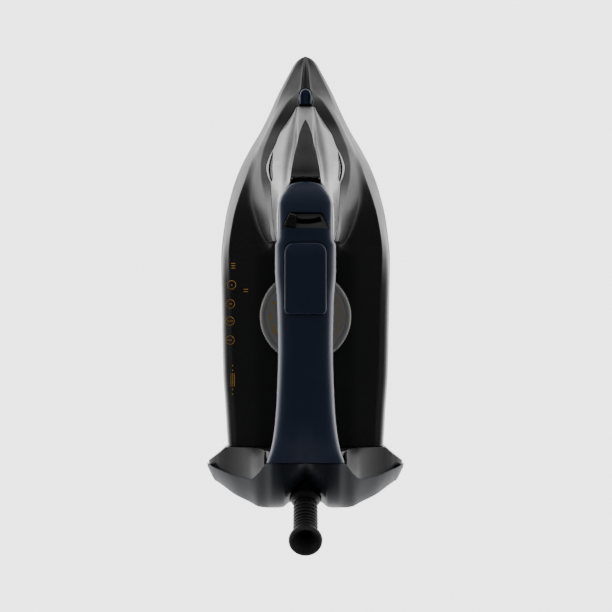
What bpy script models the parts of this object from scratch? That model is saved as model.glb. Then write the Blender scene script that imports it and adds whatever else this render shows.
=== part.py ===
"""A corded steam iron, built piece by piece from the soleplate up.

Sizes and places are in millimetres and become metres when a mesh is made.
+Y runs to the nose, +Z up; the origin is on the ironing face, under the axis of the temperature dial.
The outer skin is a set of rails: lines that run from nose to heel, each a table of places.
A cross-section at any Y joins the rails, and shells, pockets and trims are all cut from that skin.
"""

import math

import bmesh
import bpy
from mathutils import Matrix, Vector

MM = 0.001
GAP = 0.3
WALL = 2.2

# Heights of the stack, from the ironing face up
SOLE_TOP = 5.0
SKIRT_BASE = SOLE_TOP + GAP
BODY_BASE = 14.0
CASTING_TOP = 10.5
ISLAND_TOP = 19.5
COVER_PLATE_TOP = 21.3

# Stations along the length
NOSE_Y = 166.6
TRIM_FRONT_Y = 132.5
DOOR_REAR_Y = 81.3
COLUMN_REAR_Y = 46.0
BODY_REAR_Y = -82.0
COVER_REAR_Y = -88.0
SOLE_REAR_Y = -92.5

# Handle, dial and controls
BUTTON_PIVOT = Vector((0.0, 20.0, 121.0))
PLUNGER_REACH = 16.0
SLIDER_ORIGIN = Vector((0.0, 58.0, 121.7))
SLIDER_TILT = math.radians(-21.0)
SLIDER_REST_X = -7.9
DIAL_RADIUS = 28.9
DIAL_BASE_Z = 46.8
DIAL_TOP_Z = 52.6
DOOR_PIVOT = Vector((0.0, 83.4, 102.9))
CORD_EXIT = Vector((0.0, -107.3, 82.0))
EXIT_ANGLE = math.radians(33.0)
CORD_END_ANGLE = math.radians(68.0)
RELIEF_LENGTH = 41.0
HEEL_SCREW_X = 24.0
HEEL_SCREW_Z = 32.0
HEEL_SCREW_SEAT_Y = -103.0  # under the recessed screw heads
INLET = Vector((0.0, 101.0, 83.7))
INLET_TILT = math.radians(-51.7)
STAND_TILT = math.radians(17.5)
STAND_FOOT = Vector((0.0, -101.6, 14.3))

# Half-width of the body in plan: (y, x)
OUTLINE = (
    (166.6, 0.6), (166.1, 2.4), (165.0, 4.4), (163.0, 6.2), (157.6, 9.3), (150.0, 13.4),
    (142.3, 17.3), (130.8, 22.4), (119.2, 28.2), (106.4, 35.8), (93.6, 42.2), (80.8, 46.7),
    (61.6, 51.2), (36.0, 53.8), (0.0, 53.2), (-34.4, 52.5), (-60.0, 50.9), (-82.0, 49.7),
)
SOLE_REAR_CORNER = ((49.0, -84.0), (45.0, -88.6), (36.0, -91.2), (18.0, -92.3), (0.0, SOLE_REAR_Y))

# Side wall: belt height, crease set-in and height, and how round the wall is: (y, value)
BELT_Z = ((166.6, 14.6), (157.0, 15.0), (112.0, 16.0), (60.0, 17.0), (40.0, 22.0), (20.0, 28.0), (-82.0, 29.5))
CREASE_IN = (
    (166.6, 0.2), (163.0, 0.9), (157.0, 1.3), (145.5, 1.8), (130.0, 2.6), (112.0, 4.2), (104.4, 5.2),
    (87.0, 6.6), (75.0, 6.0), (50.0, 5.0), (30.0, 5.6), (0.0, 6.3), (-82.0, 6.3),
)
CREASE_Z = (
    (166.6, 16.0), (157.0, 17.6), (145.5, 20.0), (130.0, 25.0), (112.0, 31.5), (104.0, 34.5),
    (87.0, 37.0), (50.0, 37.5), (30.0, 39.0), (0.0, 40.0), (-82.0, 40.0),
)
SIDE_BULGE = ((166.6, 0.0), (60.0, 0.3), (30.0, 1.4), (0.0, 1.9), (-82.0, 1.9))

# Rails over the nose and the front column, each (y, x, z), nose to rear
FOOT_RAIL = (
    (166.6, 0.6, 16.9), (163.0, 3.6, 18.2), (157.0, 5.4, 20.5), (145.5, 9.0, 25.5), (137.5, 13.5, 29.0),
    (123.8, 21.5, 34.5), (114.1, 26.0, 37.5), (104.4, 30.2, 40.5), (94.1, 32.3, 42.0), (86.7, 34.0, 41.8),
    (75.5, 34.5, 42.0), (61.6, 31.0, 43.5), (50.7, 26.5, 45.0), (46.0, 23.5, 46.5),
)
HOOD_RAIL = (
    (166.6, 0.5, 17.1), (163.0, 1.7, 19.2), (157.0, 2.7, 23.2), (145.5, 4.2, 30.6), (141.0, 6.6, 32.4),
    (137.5, 10.2, 33.5), (123.8, 18.6, 40.0), (114.1, 22.9, 44.0), (104.4, 26.4, 48.5), (94.1, 28.1, 53.0),
    (86.7, 27.7, 57.0), (75.5, 25.5, 64.0), (61.6, 22.5, 76.0), (50.7, 21.0, 90.0), (46.0, 19.6, 97.0),
)
TRIM_EDGE_RAIL = (
    (166.6, 0.35, 17.3), (163.0, 1.3, 19.6), (157.0, 2.0, 24.2), (145.5, 3.3, 32.0), (141.0, 4.0, 35.0),
    (137.5, 4.6, 37.5), (132.5, 5.8, 40.0), (122.8, 11.4, 44.0), (114.6, 16.4, 48.5), (106.7, 19.3, 53.0),
    (99.6, 22.8, 55.5), (93.0, 24.6, 58.0), (87.5, 23.7, 61.5), (82.0, 21.7, 67.0), (71.3, 20.9, 76.0),
    (59.8, 20.1, 86.0), (47.8, 18.1, 98.0), (46.0, 17.7, 99.5),
)
LOBE_RAIL = (
    (166.6, 0.3, 17.4), (157.0, 1.7, 24.6), (145.5, 2.9, 32.8), (137.5, 4.3, 38.4), (132.5, 5.4, 40.3),
    (122.8, 8.4, 50.3), (114.6, 10.2, 60.3), (106.7, 11.6, 69.2), (99.6, 12.6, 76.8), (93.0, 13.3, 84.0),
    (87.5, 13.8, 89.5), (82.0, 14.2, 95.0), (76.0, 15.2, 98.5), (71.3, 16.3, 101.5), (59.8, 17.2, 105.0),
    (46.0, 17.2, 106.0),
)
GROOVE_RAIL = (
    (166.6, 0.2, 17.4), (157.0, 1.3, 24.6), (145.5, 2.2, 33.0), (137.5, 3.6, 38.8), (132.5, 4.9, 40.6),
    (122.8, 6.2, 49.6), (114.6, 6.8, 58.6), (106.7, 7.4, 67.8), (99.6, 8.6, 76.3), (93.0, 9.8, 84.6),
    (87.5, 10.4, 91.4), (82.0, 10.9, 98.6), (79.6, 11.2, 102.5), (76.0, 12.4, 104.6), (71.3, 14.6, 106.0),
    (67.6, 15.6, 107.3), (59.8, 15.8, 109.0), (46.0, 15.9, 110.5),
)
SPINE_EDGE_RAIL = (
    (166.6, 0.15, 17.6), (157.0, 0.9, 25.0), (145.5, 1.5, 33.4), (137.5, 2.8, 39.2), (132.5, 4.0, 41.8),
    (122.8, 4.3, 54.0), (114.6, 4.6, 64.8), (106.7, 4.9, 75.3), (99.6, 6.7, 83.9), (93.0, 8.0, 92.0),
    (87.5, 8.8, 98.3), (82.0, 9.3, 103.8), (80.6, 9.6, 103.9), (76.0, 10.6, 104.6), (71.3, 12.0, 106.0),
    (59.8, 12.6, 108.6), (46.0, 12.6, 111.0),
)
SPINE_TOP = (
    (166.6, 17.8), (163.0, 21.0), (157.0, 25.4), (145.5, 33.8), (141.0, 37.0), (137.5, 39.6), (132.5, 42.5),
    (122.8, 55.0), (114.6, 66.0), (106.7, 76.5), (99.6, 85.5), (93.0, 94.0), (87.5, 100.3), (82.0, 105.7),
    (80.6, 105.6), (76.0, 105.7), (71.3, 106.6), (59.8, 109.0), (46.0, 111.5),
)
# Rails behind the column: the fillet at its foot, then the flat deck
DECK_RAILS = (
    ((45.7, 24.0, 46.8), (42.0, 26.0, 45.8), (36.0, 30.0, 45.2), (-82.0, 30.0, 44.6)),
    ((45.7, 20.5, 53.0), (42.0, 21.0, 48.5), (36.0, 20.0, 46.0), (-82.0, 20.0, 45.6)),
    ((45.7, 17.7, 53.5), (42.0, 16.0, 49.0), (36.0, 14.0, 46.2), (-82.0, 14.0, 46.0)),
    ((45.7, 14.0, 53.8), (42.0, 12.0, 49.2), (36.0, 10.0, 46.2), (-82.0, 10.0, 46.0)),
    ((45.7, 10.0, 54.0), (42.0, 9.0, 49.2), (36.0, 7.0, 46.2), (-82.0, 7.0, 46.0)),
    ((45.7, 6.0, 54.0), (42.0, 5.0, 49.2), (36.0, 4.0, 46.2), (-82.0, 4.0, 46.0)),
)
DECK_TOP = ((45.7, 54.0), (42.0, 49.2), (36.0, 46.2), (-82.0, 46.0))
BODY_STATIONS = (
    166.6, 166.1, 165.0, 163.0, 157.6, 151.0, 145.5, 141.0, 137.5, 132.5, 127.5, 122.8, 114.6, 106.7, 99.6,
    93.0, 87.5, 82.0, 80.6, 76.0, 71.3, 65.0, 59.8, 53.0, 46.0, 45.7, 42.0, 36.0, 0.0, -41.0, -82.0,
)

# Handle: (y, value)
COVER_HALF = (
    (81.4, 2.0), (80.8, 6.0), (79.6, 9.3), (76.0, 12.4), (72.0, 14.9), (67.6, 16.0), (50.0, 16.3), (46.6, 16.6),
    (43.0, 18.2), (28.0, 18.3), (10.0, 17.1), (-19.0, 16.5), (-50.0, 17.4), (-68.0, 18.9), (-80.0, 21.0),
    (-88.0, 23.7),
)
COVER_TOP = (
    (81.4, 107.4), (79.6, 108.8), (76.0, 112.0), (72.0, 115.0), (67.6, 117.6), (60.0, 121.0), (50.0, 124.5),
    (44.0, 126.0), (30.0, 128.0), (10.0, 128.5), (-20.0, 127.0), (-50.0, 122.5), (-70.0, 117.0), (-88.0, 108.5),
)
PARTING_Z = (
    (81.4, 106.2), (79.6, 106.4), (76.0, 106.9), (72.0, 107.6), (67.6, 108.8), (59.8, 110.2), (46.0, 111.4),
    (43.0, 109.5), (10.0, 108.0), (-20.0, 107.5), (-50.0, 105.0), (-70.0, 101.0), (-88.0, 96.0),
)
GRIP_UNDER = (
    (45.7, 80.0), (43.0, 85.0), (38.0, 90.5), (30.0, 94.0), (10.0, 96.0), (-20.0, 95.5), (-50.0, 92.5),
    (-65.0, 88.0), (-75.0, 80.0), (-82.0, 68.0),
)
VALLEY_DEPTH = ((81.4, 0.0), (-58.0, 0.0), (-72.0, 1.4), (-88.0, 4.0))

# Heel cape: x, front edge (y, z), rear rim (y, z), bulge between them
CAPE = (
    (0.0, -88.3, 104.5, -114.0, 66.0, -1.5), (5.0, -88.3, 107.7, -114.2, 66.5, 1.5),
    (10.0, -88.3, 107.8, -115.2, 67.2, 5.0), (14.0, -88.3, 107.0, -118.0, 68.0, 7.0),
    (20.0, -88.3, 103.0, -118.6, 68.0, 6.5), (24.0, -89.2, 97.0, -118.6, 68.0, 5.0),
    (29.0, -95.5, 88.0, -118.2, 66.5, 3.0), (34.0, -99.6, 78.5, -116.2, 60.0, 2.0),
    (44.0, -98.8, 62.0, -112.3, 48.0, 1.2), (54.0, -96.0, 48.0, -107.0, 30.0, 0.8),
    (57.5, -95.0, 43.0, -105.0, 25.0, 0.5), (62.2, -92.6, 37.0, -95.6, 30.0, 0.0),
)
# Heel base: x, top of its front face (y, z), and the height of its underside
HEEL_FRONT = (
    (0.0, -82.3, 97.0, 14.3), (18.0, -82.3, 95.0, 14.3), (20.0, -82.3, 92.0, 14.3), (24.0, -82.3, 84.0, 14.3),
    (29.0, -82.3, 55.0, 14.3), (34.0, -82.3, 47.0, 14.3), (44.0, -82.3, 43.5, 14.3), (49.7, -82.3, 41.0, 14.3),
    (54.0, -85.6, 39.0, 15.5), (57.5, -88.4, 36.4, 17.0), (62.2, -91.9, 31.5, 24.0),
)


def clear_scene():
    """Removes what is there and makes one collection for the parts and one for the cutters."""
    for old in list(bpy.data.objects):
        bpy.data.objects.remove(old)
    made = []
    for name in ("steam_iron", "cutters"):
        made.append(bpy.data.collections.new(name))
        bpy.context.scene.collection.children.link(made[-1])
    return made


PARTS, CUTTERS = clear_scene()


def finish(name, colour, roughness, metallic=0.0):
    """A plain Principled material."""
    material = bpy.data.materials.new(name)
    material.use_nodes = True
    shader = material.node_tree.nodes["Principled BSDF"]
    shader.inputs["Base Color"].default_value = (*colour, 1.0)
    shader.inputs["Roughness"].default_value = roughness
    shader.inputs["Metallic"].default_value = metallic
    return material


BLACK = finish("black_plastic", (0.012, 0.012, 0.012), 0.35)
NAVY = finish("navy_plastic", (0.013, 0.018, 0.03), 0.35)
SILVER = finish("silver_paint", (0.36, 0.36, 0.36), 0.3, 0.6)
GREY = finish("grey_plastic", (0.05, 0.05, 0.05), 0.45)
BURGUNDY = finish("burgundy_ceramic", (0.12, 0.015, 0.02), 0.3)
ALUMINIUM = finish("cast_aluminium", (0.6, 0.6, 0.6), 0.45, 1.0)
STEEL = finish("steel", (0.55, 0.55, 0.56), 0.3, 1.0)
BRASS = finish("brass", (0.6, 0.42, 0.15), 0.3, 1.0)
SMOKED = finish("smoked_plastic", (0.01, 0.01, 0.012), 0.1)
RED_LENS = finish("red_lens", (0.2, 0.005, 0.01), 0.2)
RUBBER = finish("black_rubber", (0.01, 0.01, 0.012), 0.55)


def smooth(table, y):
    """The value at y of the curve through the (y, value) pairs, which never overshoots them."""
    points = sorted(table)
    if y <= points[0][0]:
        return points[0][1]
    if y >= points[-1][0]:
        return points[-1][1]
    slopes = [(b[1] - a[1]) / (b[0] - a[0]) for a, b in zip(points, points[1:])]
    i = max(k for k in range(len(slopes)) if points[k][0] <= y)

    def tangent(k):
        if k == 0 or k == len(slopes):
            return slopes[min(k, len(slopes) - 1)]
        before, after = slopes[k - 1], slopes[k]
        return 2 * before * after / (before + after) if before * after > 0 else 0.0

    (y0, v0), (y1, v1) = points[i], points[i + 1]
    h = y1 - y0
    t = (y - y0) / h
    return (
        (2 * t**3 - 3 * t**2 + 1) * v0
        + (t**3 - 2 * t**2 + t) * h * tangent(i)
        + (-2 * t**3 + 3 * t**2) * v1
        + (t**3 - t**2) * h * tangent(i + 1)
    )


def rail(table, y):
    """The (x, z) of a rail at y."""
    return (
        smooth([(row[0], row[1]) for row in table], y),
        smooth([(row[0], row[2]) for row in table], y),
    )


def skin(y):
    """Right half of the body's outer section at y, from the bottom edge up to the centre line."""
    half = smooth(OUTLINE, y)
    belt = (half - 0.2, smooth(BELT_Z, y))
    crease = (half - smooth(CREASE_IN, y), smooth(CREASE_Z, y))
    bulge = smooth(SIDE_BULGE, y)
    side = ((belt[0] + crease[0]) / 2 + bulge, (belt[1] + crease[1]) / 2 + bulge)
    if y >= COLUMN_REAR_Y:
        tables = (FOOT_RAIL, HOOD_RAIL, TRIM_EDGE_RAIL, LOBE_RAIL, GROOVE_RAIL, SPINE_EDGE_RAIL)
        top = (0.0, smooth(SPINE_TOP, y))
    else:
        tables = DECK_RAILS
        top = (0.0, smooth(DECK_TOP, y))
    return [(half, BODY_BASE), belt, side, crease, *(rail(table, y) for table in tables), top]


def both_sides(half_section):
    """A half-section that ends on the centre line, made whole from right to left."""
    return half_section + [(-x, z) for x, z in reversed(half_section[:-1])]


def offset(points, distance):
    """An open section moved along its normals, outwards where distance is above 0."""
    moved = []
    for i, (x, z) in enumerate(points):
        before = points[max(i - 1, 0)]
        after = points[min(i + 1, len(points) - 1)]
        along = Vector((after[0] - before[0], after[1] - before[1])).normalized()
        moved.append((x + along.y * distance, z - along.x * distance))
    return moved


def inset_radially(points, centre_z, depths):
    """Section points moved towards (0, centre_z), each by its own depth."""
    moved = []
    for (x, z), depth in zip(points, depths):
        ray = Vector((x, z - centre_z))
        ray *= max(0.05, 1 - depth / max(ray.length, 0.01))
        moved.append((ray.x, ray.y + centre_z))
    return moved


def link(name, mesh, material=None, cutter=False):
    """Puts a mesh in the scene as a part, or as a hidden cutter."""
    made = bpy.data.objects.new(name, mesh)
    (CUTTERS if cutter else PARTS).objects.link(made)
    if cutter:
        made.hide_render = True
        made.display_type = "WIRE"
    else:
        mesh.materials.append(material)
        mesh.shade_smooth()
        mesh.set_sharp_from_angle(angle=math.radians(30))
    return made


def loft(name, rings, material=None, cutter=False):
    """A closed solid through rings of points in millimetres, each ring a closed loop of the same length."""
    form = bmesh.new()
    rows = [[form.verts.new(Vector(p) * MM) for p in ring] for ring in rings]
    for a, b in zip(rows, rows[1:]):
        for i in range(len(a)):
            j = (i + 1) % len(a)
            form.faces.new((a[i], a[j], b[j], b[i]))
    form.faces.new(reversed(rows[0]))
    form.faces.new(rows[-1])
    bmesh.ops.remove_doubles(form, verts=form.verts, dist=1e-6)
    bmesh.ops.dissolve_degenerate(form, edges=form.edges, dist=1e-6)
    bmesh.ops.recalc_face_normals(form, faces=form.faces)
    bmesh.ops.triangulate(form, faces=[f for f in form.faces if len(f.verts) > 4])
    mesh = bpy.data.meshes.new(name)
    form.to_mesh(mesh)
    form.free()
    return link(name, mesh, material, cutter)


def prism(name, outline, low, high, material=None, cutter=False):
    """An outline of (x, y) points raised from low to high."""
    return loft(name, [[(x, y, z) for x, y in outline] for z in (low, high)], material, cutter)


def box(name, low, high, material=None, cutter=False):
    """A block between two corners."""
    mesh = bpy.data.meshes.new(name)
    form = bmesh.new()
    size, centre = Vector(high) - Vector(low), (Vector(high) + Vector(low)) / 2
    place = Matrix.Translation(centre * MM) @ Matrix.Diagonal((*(size * MM), 1.0))
    bmesh.ops.create_cube(form, size=1.0, matrix=place)
    form.to_mesh(mesh)
    form.free()
    return link(name, mesh, material, cutter)


def cylinder(name, radius, start, end, material=None, cutter=False, sides=20, end_radius=None):
    """A round bar, or a cone, from start to end."""
    start, end = Vector(start), Vector(end)
    axis = end - start
    turn = axis.to_track_quat("Z", "Y").to_matrix().to_4x4()
    place = Matrix.Translation((start + end) / 2 * MM) @ turn
    form = bmesh.new()
    bmesh.ops.create_cone(
        form, cap_ends=True, segments=sides, radius1=radius * MM,
        radius2=(radius if end_radius is None else end_radius) * MM, depth=axis.length * MM, matrix=place,
    )
    mesh = bpy.data.meshes.new(name)
    form.to_mesh(mesh)
    form.free()
    return link(name, mesh, material, cutter)


def wire(name, points, radius, material, resolution=2):
    """A round bar along points."""
    curve = bpy.data.curves.new(name, "CURVE")
    curve.dimensions = "3D"
    curve.bevel_depth = radius * MM
    curve.bevel_resolution = resolution
    curve.use_fill_caps = True
    spline = curve.splines.new("POLY")
    spline.points.add(len(points) - 1)
    for place, point in zip(spline.points, points):
        place.co = (*(Vector(point) * MM), 1.0)
    curve.materials.append(material)
    made = bpy.data.objects.new(name, curve)
    PARTS.objects.link(made)
    return made


def combine(target, others, operation="DIFFERENCE"):
    """Cuts the others from the target, joins them to it, or keeps what they share."""
    for other in others:
        step = target.modifiers.new(other.name, "BOOLEAN")
        step.operation = operation
        step.object = other
        if other.name not in CUTTERS.objects:
            PARTS.objects.unlink(other)
            CUTTERS.objects.link(other)
            other.hide_render = True
            other.display_type = "WIRE"
    return target


def set_origin(made, point):
    """Moves an object's origin to a point without moving its shape."""
    place = Vector(point) * MM
    made.data.transform(Matrix.Translation(-place))
    made.location = place
    return made


def turn_about(made, point, angle, axis="X"):
    """Gives an object an origin at the point and turns it about that point."""
    set_origin(made, point)
    made.rotation_euler["XYZ".index(axis)] = angle
    return made


def plan_outline(grow, blunt=0.8, rear=SOLE_REAR_CORNER):
    """The body's outline in plan, closed behind by the rounded rear, grown by a distance."""
    stations = [y for y in BODY_STATIONS if y > COLUMN_REAR_Y] + [36.0, 0.0, -34.0, -60.0, -76.0]
    kept = [y for y in stations if smooth(OUTLINE, y) > 1.8 * blunt]
    right = [(smooth(OUTLINE, y), y) for y in kept] + list(rear)
    whole = [(0.0, right[0][1] + 0.2 * right[0][0])] + right + [(-x, y) for x, y in reversed(right[:-1])]
    grown = []
    for i, (x, y) in enumerate(whole):
        before, after = whole[i - 1], whole[(i + 1) % len(whole)]
        along = Vector((after[0] - before[0], after[1] - before[1])).normalized()
        grown.append((x - along.y * grow, y + along.x * grow))
    return grown


def cover_section(y):
    """Right half of the handle cover's outer section, from its lower edge up to the centre line."""
    half, low, top = smooth(COVER_HALF, y), smooth(PARTING_Z, y), smooth(COVER_TOP, y)
    rise = top - low
    return [
        (half, low), (half, low + 0.45 * rise), (half - 0.07 * half, low + 0.74 * rise),
        (half - 0.26 * half, top - 0.07 * rise), (0.34 * half, top),
        (0.0, top - smooth(VALLEY_DEPTH, y)),
    ]


def grip_section(y):
    """Right half of the lower grip's outer section, from the parting line down to the centre line."""
    half, high, low = smooth(COVER_HALF, min(y, 43.0)), smooth(PARTING_Z, min(y, 43.0)) - GAP, smooth(GRIP_UNDER, y)
    drop = high - low
    return [
        (half, high), (half - 0.4, high - 0.35 * drop), (half - 3.0, high - 0.72 * drop),
        (half - 8.5, low + 0.07 * drop), (0.0, low),
    ]


def shell_rings(section, stations, thickness):
    """Rings of an open shell: the outer section and, back again, the section inside it."""
    rings = []
    for y in stations:
        outer = both_sides(section(y))
        inner = offset(outer, -thickness)
        inner[0] = (inner[0][0], outer[0][1])
        inner[-1] = (inner[-1][0], outer[-1][1])
        rings.append([(x, y, z) for x, z in outer + inner[::-1]])
    return rings


# ------------------------------------------------------------------ sole and heater


def steam_hole_places():
    """Steam vents along both sides of the nose half, and three on the centre line."""
    places = [(0.0, 146.0), (0.0, 128.0), (0.0, 110.0)]
    for y in (134.0, 116.0, 98.0, 80.0, 62.0, 44.0, 26.0):
        reach = 0.58 * smooth(OUTLINE, y)
        places += [(reach, y), (-reach, y)]
    return places


def make_sole():
    """Coated soleplate with steam vents, heater casting, heating element and steam chamber cover."""
    rings = [
        [(x, y, z) for x, y in plan_outline(grow)] for grow, z in ((-0.7, 0.0), (0.8, 1.3), (0.8, SOLE_TOP))
    ]
    sole = loft("soleplate", rings, BURGUNDY)
    vents = [
        cylinder(f"vent_cutter_{i}", 1.5, (x, y, -1.0), (x, y, SOLE_TOP + 1), cutter=True, sides=8)
        for i, (x, y) in enumerate(steam_hole_places())
    ]
    combine(sole, vents)

    stations = (150.0, 140.0, 125.0, 106.0, 85.0, 60.0, 20.0, -40.0, -78.0)

    def block_outline(inset, first, last):
        kept = [y for y in stations if last <= y <= first]
        right = [(smooth(OUTLINE, y) - inset, y) for y in kept]
        return right + [(-x, y) for x, y in reversed(right)]

    base = prism("sole_casting", block_outline(6.0, 150.0, -78.0), SKIRT_BASE, CASTING_TOP, ALUMINIUM)
    island = prism("casting_island", block_outline(19.0, 106.0, -40.0), CASTING_TOP - 1, ISLAND_TOP, ALUMINIUM)
    chamber = prism("chamber_cutter", block_outline(24.0, 85.0, 20.0), 12.0, 25.0, cutter=True)
    combine(base, [island], "UNION")
    combine(base, [chamber])

    side = [(smooth(OUTLINE, y) - 13.0, y) for y in (112.0, 100.0, 85.0, 60.0, 20.0, -40.0)]
    bend = [(8.5 * math.cos(a), 121.0 + 6.5 * math.sin(a)) for a in (0.5, 1.1, math.pi / 2)]
    right = [(31.0, -64.0)] + side[::-1] + bend
    path = right + [(-x, y) for x, y in reversed(right[:-1])]
    level = CASTING_TOP + 3.2 + GAP
    ends = [(31.0, -71.0, level + 4), (31.0, -73.0, level + 13)]
    points = ends[::-1] + [(x, y, level) for x, y in path] + [(-x, y, z) for x, y, z in ends]
    wire("heating_element", points, 3.2, STEEL)

    plate = prism(
        "steam_chamber_cover", block_outline(20.5, 106.0, -40.0), ISLAND_TOP + GAP, COVER_PLATE_TOP, STEEL,
    )
    screw_places = ((9.0, 96.0), (-9.0, 96.0), (18.0, -28.0), (-18.0, -28.0))
    for i, (x, y) in enumerate(screw_places):
        combine(plate, [cylinder(f"plate_hole_{i}", 1.9, (x, y, 18.0), (x, y, 24.0), cutter=True, sides=10)])
        combine(base, [cylinder(f"casting_hole_{i}", 1.9, (x, y, 13.0), (x, y, 24.0), cutter=True, sides=10)])
        make_screw(f"chamber_screw_{i + 1}", (x, y, 13.5), (x, y, COVER_PLATE_TOP + GAP), 1.6, 3.2, 1.6)


def make_screw(name, tip, seat, shank, head, head_height):
    """A screw whose head starts at seat, with a cross recess left to the finish."""
    tip, seat = Vector(tip), Vector(seat)
    up = (seat - tip).normalized()
    made = cylinder(name, shank, tip, seat + up * 0.4, STEEL, sides=10)
    cap = cylinder(name + "_head", head, seat, seat + up * head_height, STEEL, sides=14)
    return combine(made, [cap], "UNION")


def make_heat_control():
    """Thermostat on the chamber cover, its spindle up to the dial, and the thermal fuse."""
    foot = COVER_PLATE_TOP + GAP
    thermostat = box("thermostat", (-8.0, -13.0, foot), (8.0, 13.0, foot + 4.0), STEEL)
    combine(thermostat, [cylinder("thermostat_stack", 5.5, (0, 0, foot + 3), (0, 0, foot + 10), STEEL)], "UNION")
    socket = cylinder("spindle_socket", 2.6, (0, 0, foot + 5), (0, 0, foot + 12), cutter=True)
    combine(thermostat, [socket])
    cylinder("thermostat_spindle", 2.3, (0, 0, foot + 6.0), (0, 0, DIAL_BASE_Z + 3.0), STEEL, sides=16)
    cylinder("thermal_fuse", 3.0, (14.0, -20.0, foot + 3.2), (14.0, 8.0, foot + 3.2), BRASS, sides=12)


def make_skirt():
    """Heat-resistant skirt between the hot sole and the housing."""
    skirt = prism("heat_skirt", plan_outline(-0.2, 0.4), SKIRT_BASE, BODY_BASE - GAP, BLACK)
    combine(skirt, [prism("skirt_hollow", plan_outline(-2.8, 2.8), SKIRT_BASE - 2, BODY_BASE + 2, cutter=True)])


# ------------------------------------------------------------------ body


def body_cavity():
    """Hollow inside the housing: the skin drawn in, more so up the column."""
    depths = (2.6, 2.8, 2.8, 3.2, 3.4, 7.0, 9.5, 10.5, 10.0, 11.0, 12.0)
    rings = []
    for y in (156.0, 146.0, 137.5, 127.5, 114.6, 99.6, 87.5, 76.0, 65.0, 53.0, 50.0, 42.5, 33.0, 0.0, -41.0, -79.4):
        over_deck = y < COLUMN_REAR_Y or y > 137.0
        drawn = (2.6, 2.8, 2.8, 3.2, 3.4, 3.4, 3.4, 3.4, 3.4, 3.4, 3.4) if over_deck else depths
        if y > 137.0:
            drawn = [d + 1.8 for d in drawn]
        half = inset_radially(skin(y), 10.0, drawn)
        half[0] = (half[0][0], BODY_BASE - 4)
        rings.append([(x, y, z) for x, z in both_sides(half)])
    return loft("body_cavity", rings, cutter=True)


def lowered(surface, drop):
    """A section sunk into the skin: drawn towards the centre plane and let down."""
    narrow = 1.0 - 0.62 * drop / surface[0][0]
    return [(x * narrow, z - drop) for x, z in surface]


def trim_band(name, above, below, first, last, material):
    """The skin between the trim's two edges as a band, from above to below that skin."""
    stations = [y for y in BODY_STATIONS if last < y < first]
    rings = []
    for y in (first, *stations, last):
        surface = both_sides(skin(y)[6:])
        top, bottom = lowered(surface, above), lowered(surface, below)
        rings.append([(x, y, z) for x, z in top + bottom[::-1]])
    return loft(name, rings, material)


def trim_pocket():
    """The recess in the housing that the trim, the door and the windows lie in."""
    first, last = TRIM_FRONT_Y + GAP, 45.0
    stations = [y for y in BODY_STATIONS if last < y < first]
    rings = []
    for y in (first, *stations, last):
        surface = both_sides(skin(max(y, COLUMN_REAR_Y))[6:])
        edge_x, edge_z = surface[0][0] + 0.35, surface[0][1] - 0.35
        ring = [(edge_x, 140.0), (edge_x, edge_z), *lowered(surface, 3.3), (-edge_x, edge_z), (-edge_x, 140.0)]
        rings.append([(x, y, z) for x, z in ring])
    return loft("trim_pocket", rings, cutter=True)


def cap_outline(grow):
    """The front of the handle cover in plan, as far back as the tips of the trim."""
    right = [(smooth(COVER_HALF, y) + grow, y) for y in (79.6, 76.0, 72.0, 67.6, 58.0, 50.0, 47.0)]
    right = [(6.0 + grow, 80.8 + grow), *right, (16.6 + grow, 40.0)]
    return [(0.0, 81.5 + grow)] + right + [(-x, y) for x, y in reversed(right)]


def window_outline(grow):
    """The pointed window over the spine, in plan."""
    right = ((2.4, 118.0), (4.1, 112.5), (5.0, 107.0), (6.9, 99.6), (8.3, 92.0), (9.6, DOOR_REAR_Y))
    right = [(x + grow, y) for x, y in right]
    right[-1] = (right[-1][0], DOOR_REAR_Y - grow)
    tip = [(-0.5, 122.6 + 1.6 * grow), (0.5, 122.6 + 1.6 * grow)]
    return tip + right + [(-x, y) for x, y in reversed(right)]


def crescent_outline(side, grow):
    """The side window between a lobe and its outer strand, in plan."""
    outer = [(20.3, 103.6), (22.0, 98.6), (23.2, 93.0), (22.6, 87.5), (21.2, 83.2)]
    inner = [(19.9, 86.0), (20.6, 92.0), (20.3, 99.0)]
    if grow:
        outer = [(20.35, 102.4), (21.7, 98.2), (22.9, 93.0), (22.3, 87.8), (21.2, 84.4)]
        inner = [(20.3, 86.5), (20.9, 92.0), (20.6, 98.6)]
    return [(side * x, y) for x, y in outer + inner]


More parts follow.
